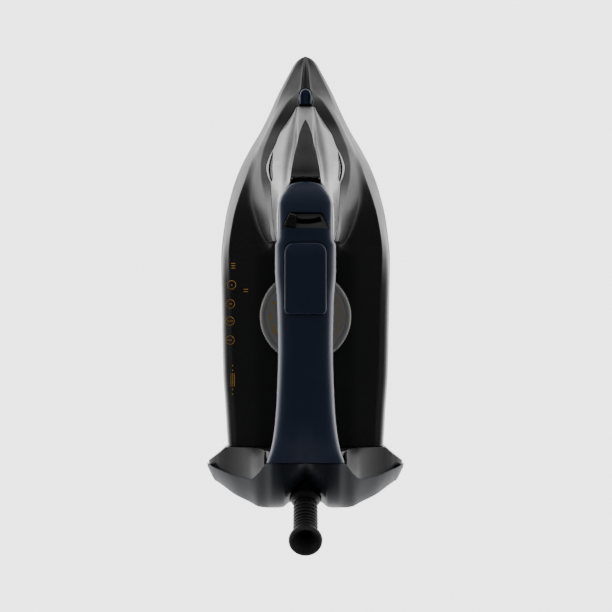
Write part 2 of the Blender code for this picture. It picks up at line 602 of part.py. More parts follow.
def make_body():
    """Housing with its nose, deck and front column; the trim, door and windows that sit in it."""
    rings = [[(x, y, z) for x, z in both_sides(skin(y))] for y in BODY_STATIONS]
    housing = loft("body_housing", rings, BLACK)
    pocket = trim_pocket()
    cap_guard = prism("cap_guard", cap_outline(0.0), 60.0, 140.0, cutter=True)
    combine(pocket, [cap_guard])
    spindle_hole = cylinder("spindle_hole", 4.0, (0, 0, 30), (0, 0, 60), cutter=True)
    inlet = place_tilted(box("inlet_hole", (-5.9, -5.8, -22), (5.9, 5.8, -1), cutter=True), INLET, INLET_TILT)
    tube_hole = cylinder("tube_hole", 1.7, (0, 124.0, 33.0), (0, 134.0, 36.6), cutter=True, sides=10)
    rod_hole = cylinder("rod_hole", 1.8, (0, 52.0, 90), (0, 52.0, 116), cutter=True, sides=12)
    lead_slot = box("lead_slot", (-14, -84, 17), (14, -78, 27), cutter=True)
    relief = box("door_sweep", (-9.5, 79.8, 101.3), (9.5, 85.4, 112.0), cutter=True)
    reach = Vector((9.0, 0, 0))
    nozzle_seat = box("nozzle_seat", (-4.2, 133.1, 34.0), (4.2, 144.6, 50.0), cutter=True)
    combine(housing, [body_cavity(), pocket, relief, spindle_hole, inlet, nozzle_seat, tube_hole, rod_hole, lead_slot])
    screw_holes = [
        cylinder(f"housing_screw_hole_{i}", 1.9, (x, -84, HEEL_SCREW_Z), (x, -78, HEEL_SCREW_Z), cutter=True, sides=12)
        for i, x in enumerate((-HEEL_SCREW_X, HEEL_SCREW_X))
    ]
    combine(housing, screw_holes)

    trim = trim_band("front_trim", 0.0, 1.8, TRIM_FRONT_Y - 0.2, COLUMN_REAR_Y + 0.2, SILVER)
    combine(trim, [
        prism("trim_cap_cutter", cap_outline(GAP), 60.0, 140.0, cutter=True),
        prism("trim_window_cutter", window_outline(0.0), 30.0, 140.0, cutter=True),
        prism("crescent_cutter_right", crescent_outline(1, 0), 40.0, 80.0, cutter=True),
        prism("crescent_cutter_left", crescent_outline(-1, 0), 40.0, 80.0, cutter=True),
    ])
    combine(trim, [box("trim_door_sweep", (-8.9, 80.45, 95.0), (8.9, 83.0, 116.0), cutter=True)])
    for side, name in ((1, "tank_window_right"), (-1, "tank_window_left")):
        pane = trim_band(name, 0.5, 1.8, TRIM_FRONT_Y - 0.2, 60.0, SMOKED)
        keep = prism(name + "_keeper", crescent_outline(side, 1), 40.0, 80.0, cutter=True)
        combine(pane, [keep], "INTERSECT")

    door = trim_band("filler_door", 0.1, 1.9, TRIM_FRONT_Y - 0.2, 81.9, SMOKED)
    combine(door, [prism("door_keeper", window_outline(-0.35), 30.0, 140.0, cutter=True)], "INTERSECT")
    rib = box("door_rib", (-8.0, 82.3, 101.9), (8.0, 84.6, 103.9), SMOKED)
    combine(door, [rib], "UNION")
    combine(door, [cylinder("door_bore", 0.8, DOOR_PIVOT - reach, DOOR_PIVOT + reach, cutter=True, sides=12)])
    set_origin(door, DOOR_PIVOT)
    cylinder("door_pin", 0.5, DOOR_PIVOT - 0.95 * reach, DOOR_PIVOT + 0.95 * reach, STEEL, sides=12)


def place_tilted(made, origin, tilt):
    """Turns a mesh about X by the tilt, then stands it at the origin given."""
    made.data.transform(Matrix.Rotation(tilt, 4, "X"))
    made.location = Vector(origin) * MM
    return made


def make_front_fittings():
    """Spray nozzle and its housing on the nose, its tube, the door's hinge pin and the inlet funnel."""
    shape = [(-3.9, 133.4), (3.9, 133.4), (4.0, 139.5), (2.8, 143.0), (0.0, 144.3), (-2.8, 143.0), (-4.0, 139.5)]
    rings = [
        [(x, y, 35.0) for x, y in shape],
        [(x, y, 40.2 - 0.22 * (y - 133.4)) for x, y in shape],
        [(0.86 * x, 133.9 + 0.9 * (y - 133.4), 42.6 - 0.25 * (y - 133.4)) for x, y in shape],
    ]
    nozzle_block = loft("nozzle_housing", rings, NAVY)
    axis = Vector((0.0, math.cos(0.45), math.sin(0.45)))
    mouth = Vector((0.0, 143.4, 38.0))
    hole = cylinder("nozzle_bore", 1.5, mouth - axis * 6.0, mouth + axis * 3.0, cutter=True, sides=12)
    back = cylinder("tube_bore", 1.3, (0, 128, 36.6), (0, 139.5, 36.6), cutter=True, sides=10)
    combine(nozzle_block, [hole, back])
    tip = cylinder("spray_nozzle", 1.2, mouth - axis * 3.5, mouth + axis * 0.2, BRASS, sides=12)
    combine(tip, [cylinder("orifice", 0.35, mouth - axis * 5, mouth + axis * 2, cutter=True, sides=8)])
    wire("spray_tube", [(0, 137.5, 36.6), (0, 134.4, 36.6), (0, 125.0, 33.4), (0, 122.0, 30.0)], 0.9, RUBBER)


def make_tank():
    """Water tank under the column, open at the inlet, and the dark red sleeve that leads into it."""
    outer, inner = [], []
    for y in (112.0, 106.7, 99.6, 87.5, 76.0, 65.0, 56.0):
        wide = smooth(OUTLINE, y) - smooth(CREASE_IN, y) - 8.0
        roof = inset_radially(skin(y)[4:], 10.0, (9, 13, 15.5, 17, 17, 18.5, 19.5))
        half = [(wide, 24.0), (wide, 29.0), *roof]
        hollow = [(0.91 * x, 26.0 + 0.92 * (z - 24.0)) for x, z in half]
        outer.append([(x, y, z) for x, z in both_sides(half)])
        inner.append([(x, 84.0 + 0.92 * (y - 84.0), z) for x, z in both_sides(hollow)])
    tank = loft("water_tank", outer, SMOKED)
    mouth = place_tilted(box("tank_mouth", (-3.6, -3.6, -30), (3.6, 3.6, -4), cutter=True), INLET, INLET_TILT)
    combine(tank, [loft("tank_hollow", inner, cutter=True), mouth])
    sleeve = place_tilted(box("inlet_sleeve", (-5.6, -5.5, -11), (5.6, 5.5, -2.4), BURGUNDY), INLET, INLET_TILT)
    throat = place_tilted(box("sleeve_throat", (-4.0, -4.0, -14), (4.0, 4.0, 0), cutter=True), INLET, INLET_TILT)
    combine(sleeve, [throat])


def make_dial():
    """Temperature dial, pressed on the thermostat spindle and turning with it."""
    rings = []
    for radius, z in ((DIAL_RADIUS - 1.2, DIAL_BASE_Z), (DIAL_RADIUS, DIAL_BASE_Z + 1.2),
                      (DIAL_RADIUS, DIAL_TOP_Z - 1.4), (DIAL_RADIUS - 1.4, DIAL_TOP_Z),
                      (DIAL_RADIUS - 5.0, DIAL_TOP_Z + 0.3)):
        turns = [math.tau * i / 40 for i in range(40)]
        rings.append([(radius * math.cos(a), radius * math.sin(a), z) for a in turns])
    dial = loft("temperature_dial", rings, GREY)
    combine(dial, [cylinder("dial_socket", 2.6, (0, 0, 40), (0, 0, DIAL_BASE_Z + 3.4), cutter=True, sides=16)])


# ------------------------------------------------------------------ handle and controls


def slot_outline(grow):
    """The lever's window in the tilted plane of the cover, wider behind than in front."""
    return [(-10.1 - grow, 5.2 + grow), (-14.6 - grow, -5.2 - grow), (-7.4, -6.4 - grow), (0.0, -6.8 - grow),
            (7.4, -6.4 - grow), (14.6 + grow, -5.2 - grow), (10.1 + grow, 5.2 + grow), (0.0, 3.6 + grow)]


def arc_slot(radius, reach, width):
    """A curved slot round the lever's pivot, as a closed outline in the tilted plane."""
    turns = [math.radians(a) for a in range(-reach, reach + 1, reach // 4)]
    outer = [((radius + width / 2) * math.sin(a), 27.0 - (radius + width / 2) * math.cos(a)) for a in turns]
    inner = [((radius - width / 2) * math.sin(a), 27.0 - (radius - width / 2) * math.cos(a)) for a in turns]
    return outer + inner[::-1]


def make_handle():
    """Upper cover and lower grip of the handle, two shells that meet along the parting line."""
    stations = (81.4, 80.8, 79.6, 76.0, 72.0, 67.6, 60.0, 53.0, 46.6, 43.0, 28.0, 10.0, -5.0, -19.0, -35.0,
                -50.0, -60.0, -70.0, -80.0, -88.0)
    outer = [[(x, y, z) for x, z in both_sides(cover_section(y))] for y in stations]
    inner = []
    for y in (*stations[3:-1], COVER_REAR_Y - 1.0):
        half = offset(cover_section(y), -WALL)
        half[0] = (half[0][0], smooth(PARTING_Z, y) - 1.0)
        half[-1] = (0.0, half[-1][1])
        inner.append([(x, y, z) for x, z in both_sides(half)])
    cover = loft("handle_cover", outer, NAVY)
    window = place_tilted(prism("lever_window", slot_outline(0.0), -6, 6, cutter=True), SLIDER_ORIGIN, SLIDER_TILT)
    button_hole = box("button_hole", (-12.9, 0.8, 112.0), (12.9, 45.1, 140.0), cutter=True)
    combine(cover, [loft("cover_hollow", inner, cutter=True), window, button_hole])

    under = (45.7, 43.0, 38.0, 30.0, 10.0, -5.0, -20.0, -35.0, -50.0, -58.0, -65.0, -70.0, -75.0, -82.0)
    grip = loft("handle_grip", shell_rings(grip_section, under, WALL), NAVY)
    return cover, grip


def make_lever():
    """Scale plate in the lever's window, and the steam lever that rides in its curved slot."""
    plate = prism("lever_scale", slot_outline(-0.35), -3.9, -2.4, GREY)
    slot = prism("scale_slot", arc_slot(27.0, 20, 3.4), -6, 2, cutter=True)
    place_tilted(plate, SLIDER_ORIGIN, SLIDER_TILT)
    place_tilted(slot, SLIDER_ORIGIN, SLIDER_TILT)
    combine(plate, [slot])
    reach = 27.0
    side = [(-2.8, -24.6), (2.8, -24.6), (3.6, -32.4), (-3.6, -32.4)]
    tab = loft("steam_lever", [
        [(x, y, -2.1) for x, y in side],
        [(0.9 * x, y, 0.9) for x, y in side],
        [(0.72 * x, -27.2 + 0.55 * (y + 27.2), 2.4) for x, y in side],
    ], BLACK)
    stem = box("lever_stem", (-1.3, -reach - 1.3, -5.6), (1.3, -reach + 1.3, 0.0), BLACK)
    foot = box("lever_foot", (-2.6, -reach - 3.2, -6.0), (2.6, -reach + 3.2, -4.3), BLACK)
    rest = Matrix.Rotation(-math.asin(-SLIDER_REST_X / reach), 4, "Z")
    axis_point = SLIDER_ORIGIN + Matrix.Rotation(SLIDER_TILT, 3, "X") @ Vector((0, reach, 0))
    for piece in (tab, stem, foot):
        piece.data.transform(rest)
        place_tilted_mm(piece, axis_point)
    combine(tab, [stem, foot], "UNION")
    cylinder("steam_valve_rod", 1.4, (0.0, 52.0, 24.0), (0.0, 52.0, 113.4), GREY, sides=12)


def place_tilted_mm(made, point):
    """Tilts a piece into the lever's plane with its origin on the lever's axis."""
    return place_tilted(made, point, SLIDER_TILT)


def make_button():
    """Rocker button, its pin, and the twin spray and steam pump that it works."""
    plan = [(-12.4, 1.6, 0), (-12.4, 38.0, 0), (-12.0, 42.5, 1), (-9.0, 44.3, 1), (9.0, 44.3, 1),
            (12.0, 42.5, 1), (12.4, 38.0, 0), (12.4, 1.6, 0)]
    low = [(x, y, 121.5) for x, y, _ in plan]
    mid = [(x, y, 127.0 if f else 130.2) for x, y, f in plan]
    top = [(0.94 * x, min(max(y, 2.2), 36.8), 131.0) for x, y, _ in plan]
    button = loft("rocker_button", [low, mid, top], NAVY)
    hollow = box("button_hollow", (-10.4, 3.6, 118.0), (10.4, 40.6, 125.6), cutter=True)
    combine(button, [hollow])
    for name, y in (("front", 20.0 + PLUNGER_REACH), ("rear", 20.0 - PLUNGER_REACH)):
        combine(button, [cylinder(f"{name}_post", 2.2, (0, y, 120.6), (0, y, 127.0), NAVY, sides=12)], "UNION")
    lug = box("button_lug", (-3.5, 17.0, 118.4), (3.5, 23.0, 127.0), NAVY)
    combine(button, [lug], "UNION")
    combine(button, [cylinder("lug_bore", 1.5, (-9, 20, 121), (9, 20, 121), cutter=True, sides=12)])
    set_origin(button, BUTTON_PIVOT)
    cylinder("rocker_pin", 1.2, (-8.4, 20, 121), (8.4, 20, 121), STEEL, sides=12)

    block = box("pump_block", (-8.2, 0.0, 99.6), (8.2, 40.0, 110.5), BLACK)
    for side in (-1, 1):
        ear = box(f"pump_ear_{side}", (min(4.4 * side, 8.0 * side), 17.0, 109.0),
                  (max(4.4 * side, 8.0 * side), 23.0, 123.6), BLACK)
        combine(block, [ear], "UNION")
    combine(block, [cylinder("ear_bore", 1.5, (-12, 20, 121), (12, 20, 121), cutter=True, sides=12)])
    for name, y in (("front", 20.0 + PLUNGER_REACH), ("rear", 20.0 - PLUNGER_REACH)):
        combine(block, [cylinder(f"{name}_barrel", 2.8, (0, y, 101.5), (0, y, 120), cutter=True, sides=14)])
        rod = cylinder(f"{name}_plunger", 2.4, (0, y, 104.0), (0, y, 120.2), GREY, sides=14)
        combine(rod, [cylinder(f"{name}_flange", 4.4, (0, y, 118.4), (0, y, 120.2), GREY, sides=14)], "UNION")
        turns = [math.tau * i / 10 for i in range(41)]
        coil = [(3.6 * math.cos(a), y + 3.6 * math.sin(a), 111.3 + 6.3 * a / turns[-1]) for a in turns]
        wire(f"{name}_spring", coil, 0.35, STEEL, resolution=1)


# ------------------------------------------------------------------ heel and cord


def stand_plane_y(z):
    """Where the stand face lies at a height."""
    return STAND_FOOT.y - (z - STAND_FOOT.z) * math.tan(STAND_TILT)


def cape_row(x):
    """Front edge, crown and rear rim of the cape at x, as (y, z) points."""
    front = tuple(smooth([(row[0], row[i]) for row in CAPE], x) for i in (1, 2))
    rear = tuple(smooth([(row[0], row[i]) for row in CAPE], x) for i in (3, 4))
    bulge = smooth([(row[0], row[5]) for row in CAPE], x)
    chord = Vector((rear[0] - front[0], rear[1] - front[1]))
    out = Vector((chord.y, -chord.x)).normalized()
    points = []
    for t in (0.0, 0.2, 0.4, 0.6, 0.8, 1.0):
        lift = 4 * bulge * t * (1 - t)
        y, z = front[0] + t * chord.x + lift * out.x, front[1] + t * chord.y + lift * out.y
        points.append((max(y, stand_plane_y(z) + 0.1), z))
    return points


def moved_in(points, distance):
    """A profile of (y, z) points moved down and forward along its normals."""
    return offset(points, -distance)


def behind(points, y):
    """A (y, z) profile that starts where it passes y, in as many points as before."""
    start = 0.0
    for i, (a, b) in enumerate(zip(points, points[1:])):
        if a[0] > y >= b[0]:
            start = i + (a[0] - y) / (a[0] - b[0])
    last = len(points) - 1
    kept = []
    for i in range(len(points)):
        t = start + (last - start) * i / last
        k = min(int(t), last - 1)
        a, b = points[k], points[k + 1]
        kept.append((a[0] + (t - k) * (b[0] - a[0]), a[1] + (t - k) * (b[1] - a[1])))
    return kept


def make_heel():
    """Heel base with its stand face, and the cape that covers it and carries the cord outlet."""
    half = (0.0, 5.0, 10.0, 14.0, 20.0, 24.0, 29.0, 34.0, 44.0, 49.7, 54.0, 57.5, 60.0, 62.2)
    xs = [-x for x in reversed(half[1:])] + list(half)
    capes, bases, hollows = [], [], []
    for x in xs:
        a = abs(x)
        thick = 2.2 if a < 55 else 1.4
        outer = cape_row(a)
        inner = behind(moved_in(outer, thick), outer[0][0])
        capes.append([(x, y, z) for y, z in outer + inner[::-1]])
        front = [smooth([(row[0], row[i]) for row in HEEL_FRONT], a) for i in (1, 2, 3)]
        shelf = min(outer[0][0] - 0.9, front[0] - 0.3)
        top = behind(moved_in(outer, thick + 1.1), shelf)
        top[-1] = (max(top[-1][0], stand_plane_y(top[-1][1])), top[-1][1])
        ledge_z = min(top[-1][1], inner[-1][1]) - 1.2
        rim_y = stand_plane_y(ledge_z)
        if not 14 <= a <= 54:
            rim_y = max(top[-1][0], rim_y)
        step = (shelf, min(front[1] + 0.2, top[0][1] - 0.2)) if a < 25 else (shelf, top[0][1] - 0.3)
        ring = [(front[0], front[2]), (front[0], min(front[1], step[1] - 0.2)), step, *top]
        ring += [(rim_y, ledge_z), (max(stand_plane_y(front[2]), rim_y), front[2])]
        if a < 62:
            bases.append([(x, y, z) for y, z in ring])
        if a < 48:
            inside = [(y + 0.4, z - 2.2) for y, z in top]
            rear_y = stand_plane_y(front[2]) + 2.6
            low_front = ring[1][1] - 2.4
            wall_y = front[0] - 2.4
            loop = [(wall_y, front[2] + 2.4), (wall_y, low_front), (step[0] - 2.0, low_front)]
            loop += [(min(y, step[0] - 2.2), z) for y, z in inside[:-1]]
            loop.append((inside[-1][0] + 2.0, inside[-1][1]))
            loop.append((rear_y, front[2] + 2.4))
            hollows.append([(x, y, z) for y, z in loop])
    base = loft("heel_base", bases, BLACK)
    doorway = box("heel_doorway", (-43.0, -88.0, 16.7), (43.0, -80.0, 40.0), cutter=True)
    combine(base, [loft("heel_hollow", hollows, cutter=True), doorway])
    cape = loft("heel_cape", capes, GREY)
    out = Vector((0, -math.cos(EXIT_ANGLE), math.sin(EXIT_ANGLE)))
    bore = cylinder("cord_outlet", 8.4, CORD_EXIT - out * 12, CORD_EXIT + out * 14, cutter=True, sides=24)
    inner_bore = cylinder("cord_passage", 8.4, CORD_EXIT - out * 12, CORD_EXIT + out * 14, cutter=True, sides=24)
    combine(cape, [bore])
    bosses, screw_holes = [], []
    for side in (-1, 1):
        x, z = side * HEEL_SCREW_X, HEEL_SCREW_Z
        bosses.append(cylinder(f"heel_boss_{side}", 5.2, (x, -97, z), (x, -105.2, z), BLACK, sides=16))
        screw_holes.append(cylinder(f"heel_screw_hole_{side}", 1.9, (x, -95, z), (x, -115, z), cutter=True, sides=12))
        screw_holes.append(cylinder(
            f"heel_screw_seat_{side}", 3.5, (x, HEEL_SCREW_SEAT_Y + GAP, z), (x, -115, z), cutter=True, sides=16))
    combine(base, bosses, "UNION")
    combine(base, [inner_bore, *screw_holes])


def make_cord_relief():
    """Swivel collar in the heel and the ribbed strain relief that turns with it."""
    out = Vector((0, -math.cos(EXIT_ANGLE), math.sin(EXIT_ANGLE)))
    rise = Vector((0, math.sin(EXIT_ANGLE), math.cos(EXIT_ANGLE)))
    side = Vector((1, 0, 0))

    def ring(centre, normal, radius, count=20):
        up = side.cross(normal).normalized()
        return [centre + radius * (math.cos(a) * side + math.sin(a) * up)
                for a in (math.tau * i / count for i in range(count))]

    profile = ((8.0, -6.0), (8.0, 3.4), (9.8, 3.6), (9.6, 5.4), (8.4, 7.6))
    collar = loft("swivel_collar", [ring(CORD_EXIT + out * s, out, r) for r, s in profile], BLACK)
    combine(collar, [cylinder("collar_bore", 6.6, CORD_EXIT - out * 12, CORD_EXIT + out * 20, cutter=True)])

    rings, bores = [], []
    steps = 34
    point, previous = Vector(CORD_EXIT) - out * 2.0, EXIT_ANGLE
    for i in range(steps + 1):
        t = i / steps
        angle = EXIT_ANGLE + (CORD_END_ANGLE - EXIT_ANGLE) * max(0.0, (t - 0.26) / 0.74)
        along = Vector((0, -math.cos(angle), math.sin(angle)))
        if i:
            point = point + along * (RELIEF_LENGTH + 2.0) / steps
        radius = 6.1 if t < 0.26 else (7.6 if i % 4 < 2 else 6.7)
        if t > 0.93:
            radius = 10.3
        elif t > 0.86:
            radius = 8.6
        rings.append(ring(point, along, radius))
        if i == 0:
            bores.append(ring(point - along * 2.0, along, 3.4, 12))
        bores.append(ring(point, along, 3.4 if t < 0.8 else 3.4 + 4.6 * (t - 0.8) / 0.2, 12))
        previous = along
    bores.append(ring(point + previous * 2.0, previous, 8.4, 12))
    relief = loft("strain_relief", rings, RUBBER)
    combine(relief, [loft("relief_bore", bores, cutter=True)])


def make_wiring():
    """Terminal block in the heel, the leads to the heater, and the screws that hold the heel."""
    box("terminal_block", (-14.0, -98.0, 17.2), (14.0, -88.0, 27.0), BLACK)
    for side, name in ((1, "lead_right"), (-1, "lead_left")):
        path = ((31, -73, 28.2), (31, -74, 30), (27, -75, 28), (16, -76, 25), (10, -78, 22.5), (8, -82, 22), (8, -87.6, 22))
        wire(name, [(side * x, y, z) for x, y, z in path], 1.1, RUBBER)
    for side, name in ((1, "heel_screw_right"), (-1, "heel_screw_left")):
        x, z = side * HEEL_SCREW_X, HEEL_SCREW_Z
        make_screw(name, (x, -77.6, z), (x, HEEL_SCREW_SEAT_Y, z), 1.6, 3.0, 1.8)


make_sole()
make_heat_control()
make_skirt()
make_body()
make_front_fittings()
make_tank()
make_dial()
make_handle()
make_lever()
make_button()
make_heel()
make_cord_relief()
make_wiring()
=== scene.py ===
"""Finished look of a household steam iron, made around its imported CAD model.

The iron stands on its soleplate with its nose towards +Y, and its dial turns about Z at the origin.
Shapes are drawn in millimetres and become metres when their mesh is made.
"""

import logging
import math
from dataclasses import dataclass, field
from enum import Enum

import bmesh
import bpy
from mathutils import Matrix, Vector


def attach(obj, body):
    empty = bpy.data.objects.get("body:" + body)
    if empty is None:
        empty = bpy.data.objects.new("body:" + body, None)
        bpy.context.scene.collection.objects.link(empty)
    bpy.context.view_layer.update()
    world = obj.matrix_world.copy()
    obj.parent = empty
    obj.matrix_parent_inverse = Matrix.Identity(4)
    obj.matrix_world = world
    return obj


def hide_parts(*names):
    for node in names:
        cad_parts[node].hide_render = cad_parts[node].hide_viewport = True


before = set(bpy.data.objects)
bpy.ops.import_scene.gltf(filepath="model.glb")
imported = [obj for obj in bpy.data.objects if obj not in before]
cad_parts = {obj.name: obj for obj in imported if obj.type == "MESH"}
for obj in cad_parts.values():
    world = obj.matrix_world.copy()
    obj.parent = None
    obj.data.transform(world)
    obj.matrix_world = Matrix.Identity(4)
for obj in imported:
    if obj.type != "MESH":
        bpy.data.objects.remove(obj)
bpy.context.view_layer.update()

LOG = logging.getLogger("steam_iron")

MM = 0.001
GAP = 0.3        # between pieces that meet
FULL_TURN = math.tau

Flat = tuple[float, float]
Point = tuple[float, float, float]
Loop = list[Flat]
Ring = list[Point]
Table = tuple[tuple[float, ...], ...]
Object = bpy.types.Object
Material = bpy.types.Material


class Body(Enum):
    """The bodies that pieces ride on."""

    SHELL = "shell"
    DIAL = "dial"
    LEVER = "lever"
    BUTTON = "button"
    DOOR = "door"
    CORD_GUARD = "cord_guard"


class Slot(Enum):
    """The finishes that the record names."""

    SOLEPLATE = "soleplate"
    BLACK = "black_plastic"
    NAVY = "navy_plastic"
    SILVER = "silver_paint"
    GREY = "grey_plastic"
    SMOKED = "smoked_plastic"
    RED = "red_plastic"
    RUBBER = "black_rubber"


class Cut(Enum):
    """How a tool solid changes a piece."""

    AWAY = "DIFFERENCE"
    JOIN = "UNION"
    KEEP_INSIDE = "INTERSECT"


class Stamp(Enum):
    """What a print stamp looks like."""

    BAR = "bar"
    DOT = "dot"
    RING = "ring"


# ---------------------------------------------------------------- curves and sections


def along_table(table: Table, at: float, column: int = 1) -> float:
    """Reads a smooth curve that passes through a table's points and never overshoots them.

    Args:
        table: Rows whose first value is the position.
        at: The position to read.
        column: Which value of each row to follow.

    Returns:
        The value of the curve there.
    """
    points = sorted((row[0], row[column]) for row in table)
    if at <= points[0][0]:
        return points[0][1]
    if at >= points[-1][0]:
        return points[-1][1]
    slopes = [(b[1] - a[1]) / (b[0] - a[0]) for a, b in zip(points, points[1:])]
    i = max(k for k in range(len(slopes)) if points[k][0] <= at)

    def tangent(k: int) -> float:
        """The slope at point k, level where the curve turns back."""
        if k in (0, len(slopes)):
            return slopes[min(k, len(slopes) - 1)]
        before, after = slopes[k - 1], slopes[k]
        return 2 * before * after / (before + after) if before * after > 0 else 0.0

    (start, low), (end, high) = points[i], points[i + 1]
    run = end - start
    t = (at - start) / run
    return (
        (2 * t**3 - 3 * t**2 + 1) * low
        + (t**3 - 2 * t**2 + t) * run * tangent(i)
        + (3 * t**2 - 2 * t**3) * high
        + (t**3 - t**2) * run * tangent(i + 1)
    )


def spread(first: float, last: float, step: float) -> list[float]:
    """Even stations from first to last, both kept, no further apart than step.

    Args:
        first: Where the stations start.
        last: Where they end.
        step: The widest spacing.

    Returns:
        The stations in order.
    """
    count = max(1, math.ceil(abs(last - first) / step))
    return [first + (last - first) * i / count for i in range(count + 1)]


def mirrored(half: Loop) -> Loop:
    """A half-section that ends on the centre line, made whole from right to left."""
    return half + [(-x, z) for x, z in reversed(half[:-1])]


def rounded(points: Loop, radii: list[float], steps: int = 4) -> Loop:
    """Rounds the corners of a closed loop.

    Args:
        points: The loop's corners.
        radii: How far back each corner's curve starts, 0 for a corner that stays.
        steps: Spans in each curve.

    Returns:
        The loop with a soft curve for each corner, in as many points for every loop with the same corners.
    """
    made: Loop = []
    for i, (corner, radius) in enumerate(zip(points, radii)):
        if radius <= 0:
            made.append(corner)
            continue
        here = Vector(corner)
        to_last = Vector(points[i - 1]) - here
        to_next = Vector(points[(i + 1) % len(points)]) - here
        start = here + to_last.normalized() * min(radius, 0.45 * to_last.length)
        end = here + to_next.normalized() * min(radius, 0.45 * to_next.length)
        for k in range(steps + 1):
            t = k / steps
            made.append(tuple((1 - t) ** 2 * start + 2 * t * (1 - t) * here + t * t * end))
    return made


def grown(points: Loop, distance: float, closed: bool = False) -> Loop:
    """Moves a path along its normals, to the right of its direction where distance is above 0.

    Args:
        points: The path.
        distance: How far to move it.
        closed: Whether its last point joins its first.

    Returns:
        The moved path, with as many points.
    """
    last = len(points) - 1
    made: Loop = []
    for i, (x, y) in enumerate(points):
        before = points[i - 1] if closed or i else points[0]
        after = points[(i + 1) % len(points)] if closed else points[min(i + 1, last)]
        along = (Vector(after) - Vector(before)).normalized()
        made.append((x + along.y * distance, y - along.x * distance))
    return made


# ---------------------------------------------------------------- meshes


def mesh_object(name: str, shape: bmesh.types.BMesh) -> Object:
    """Turns a shape drawn in millimetres into an object in metres, at the origin.

    Args:
        name: The object's name.
        shape: The shape, which is freed.

    Returns:
        The new object.
    """
    bmesh.ops.scale(shape, vec=(MM, MM, MM), verts=shape.verts)
    bmesh.ops.recalc_face_normals(shape, faces=shape.faces)
    mesh = bpy.data.meshes.new(name)
    shape.to_mesh(mesh)
    shape.free()
    made = bpy.data.objects.new(name, mesh)
    bpy.context.scene.collection.objects.link(made)
    return made


def loft(name: str, rings: list[Ring], endless: bool = False) -> Object:
    """Makes a closed solid through rings of as many points each.

    Args:
        name: The object's name.
        rings: The rings, in order.
        endless: Whether the last ring joins the first, in place of two end caps.

    Returns:
        The solid.
    """
    shape = bmesh.new()
    rows = [[shape.verts.new(point) for point in ring] for ring in rings]
    pairs = list(zip(rows, rows[1:])) + ([(rows[-1], rows[0])] if endless else [])
    for low, high in pairs:
        for i in range(len(low)):
            j = (i + 1) % len(low)
            shape.faces.new((low[i], low[j], high[j], high[i]))
    if not endless:
        shape.faces.new(rows[0][::-1])
        shape.faces.new(rows[-1])
    return mesh_object(name, shape)


def prism(name: str, outline: Loop, low: float, high: float) -> Object:
    """A plan outline made solid between two heights."""
    return loft(name, [[(x, y, z) for x, y in outline] for z in (low, high)])


def block(name: str, low: Point, high: Point) -> Object:
    """A square-cornered tool solid between two corners."""
    outline = [(low[0], low[1]), (high[0], low[1]), (high[0], high[1]), (low[0], high[1])]
    return prism(name, outline, low[2], high[2])


def circle(centre: Vector, axis: Vector, radius: float, count: int = 48) -> Ring:
    """Points of a circle round an axis.

    Args:
        centre: The circle's centre.
        axis: The direction it faces.
        radius: Its radius.
        count: How many points.

    Returns:
        The points, in order.
    """
    side = Vector((1, 0, 0)) if abs(axis.x) < 0.9 else Vector((0, 1, 0))
    up = side.cross(axis).normalized()
    side = axis.cross(up).normalized()
    angles = [FULL_TURN * i / count for i in range(count)]
    return [tuple(centre + radius * (math.cos(a) * side + math.sin(a) * up)) for a in angles]


def rod(name: str, radius: float, start: Point, end: Point, count: int = 32) -> Object:
    """A round tool solid between two points."""
    a, b = Vector(start), Vector(end)
    axis = (b - a).normalized()
    return loft(name, [circle(a, axis, radius, count), circle(b, axis, radius, count)])


def settle(piece: Object) -> Object:
    """Makes the result of a piece's modifiers its own mesh, and removes them."""
    bpy.context.view_layer.update()
    graph = bpy.context.evaluated_depsgraph_get()
    mesh = bpy.data.meshes.new_from_object(piece.evaluated_get(graph))
    old = piece.data
    piece.modifiers.clear()
    piece.data = mesh
    bpy.data.meshes.remove(old)
    mesh.name = piece.name
    return piece


def discard(piece: Object) -> None:
    """Removes a tool solid and its mesh."""
    mesh = piece.data
    bpy.data.objects.remove(piece)
    bpy.data.meshes.remove(mesh)


def carve(piece: Object, tools: list[Object], how: Cut = Cut.AWAY) -> Object:
    """Cuts a piece with tool solids, or joins them to it.

    Args:
        piece: The piece to change.
        tools: Closed solids, which are used up.
        how: What the tools do.

    Returns:
        The piece, with its new mesh.
    """
    for tool in tools:
        modifier = piece.modifiers.new("carve", "BOOLEAN")
        modifier.operation = how.value
        modifier.solver = "MANIFOLD"
        modifier.object = tool
    settle(piece)
    for tool in tools:
        discard(tool)
    return piece


def soften(piece: Object, width: float, segments: int = 3, angle: float = 40.0) -> Object:
    """Rounds a piece's sharp edges.

    Args:
        piece: The piece to change.
        width: Width of the rounding, in millimetres.
        segments: Spans across it.
        angle: The least angle, in degrees, of an edge that is rounded.

    Returns:
        The piece, with its new mesh.
    """
    bevel = piece.modifiers.new("soft_edges", "BEVEL")
    bevel.width = width * MM
    bevel.segments = segments
    bevel.limit_method = "ANGLE"
    bevel.angle_limit = math.radians(angle)
    return settle(piece)


def moved(piece: Object, matrix: Matrix) -> Object:
    """Moves a piece's mesh, and leaves the object at the origin."""
    piece.data.transform(matrix)
    return piece


def dress(piece: Object, material: Material, crease: float = 34.0, even: bool = True) -> Object:
    """Gives a piece its material and its smooth shading.

    Args:
        piece: The piece to dress.
        material: Its material.
        crease: The angle, in degrees, past which an edge stays sharp.
        even: Whether large faces set the shading of the small ones beside them.

    Returns:
        The piece.
    """
    piece.data.materials.clear()
    piece.data.materials.append(material)
    piece.data.shade_smooth()
    piece.data.set_sharp_from_angle(angle=math.radians(crease))
    if even:
        weighting = piece.modifiers.new("even_shading", "WEIGHTED_NORMAL")
        weighting.keep_sharp = True
        settle(piece)
    return piece


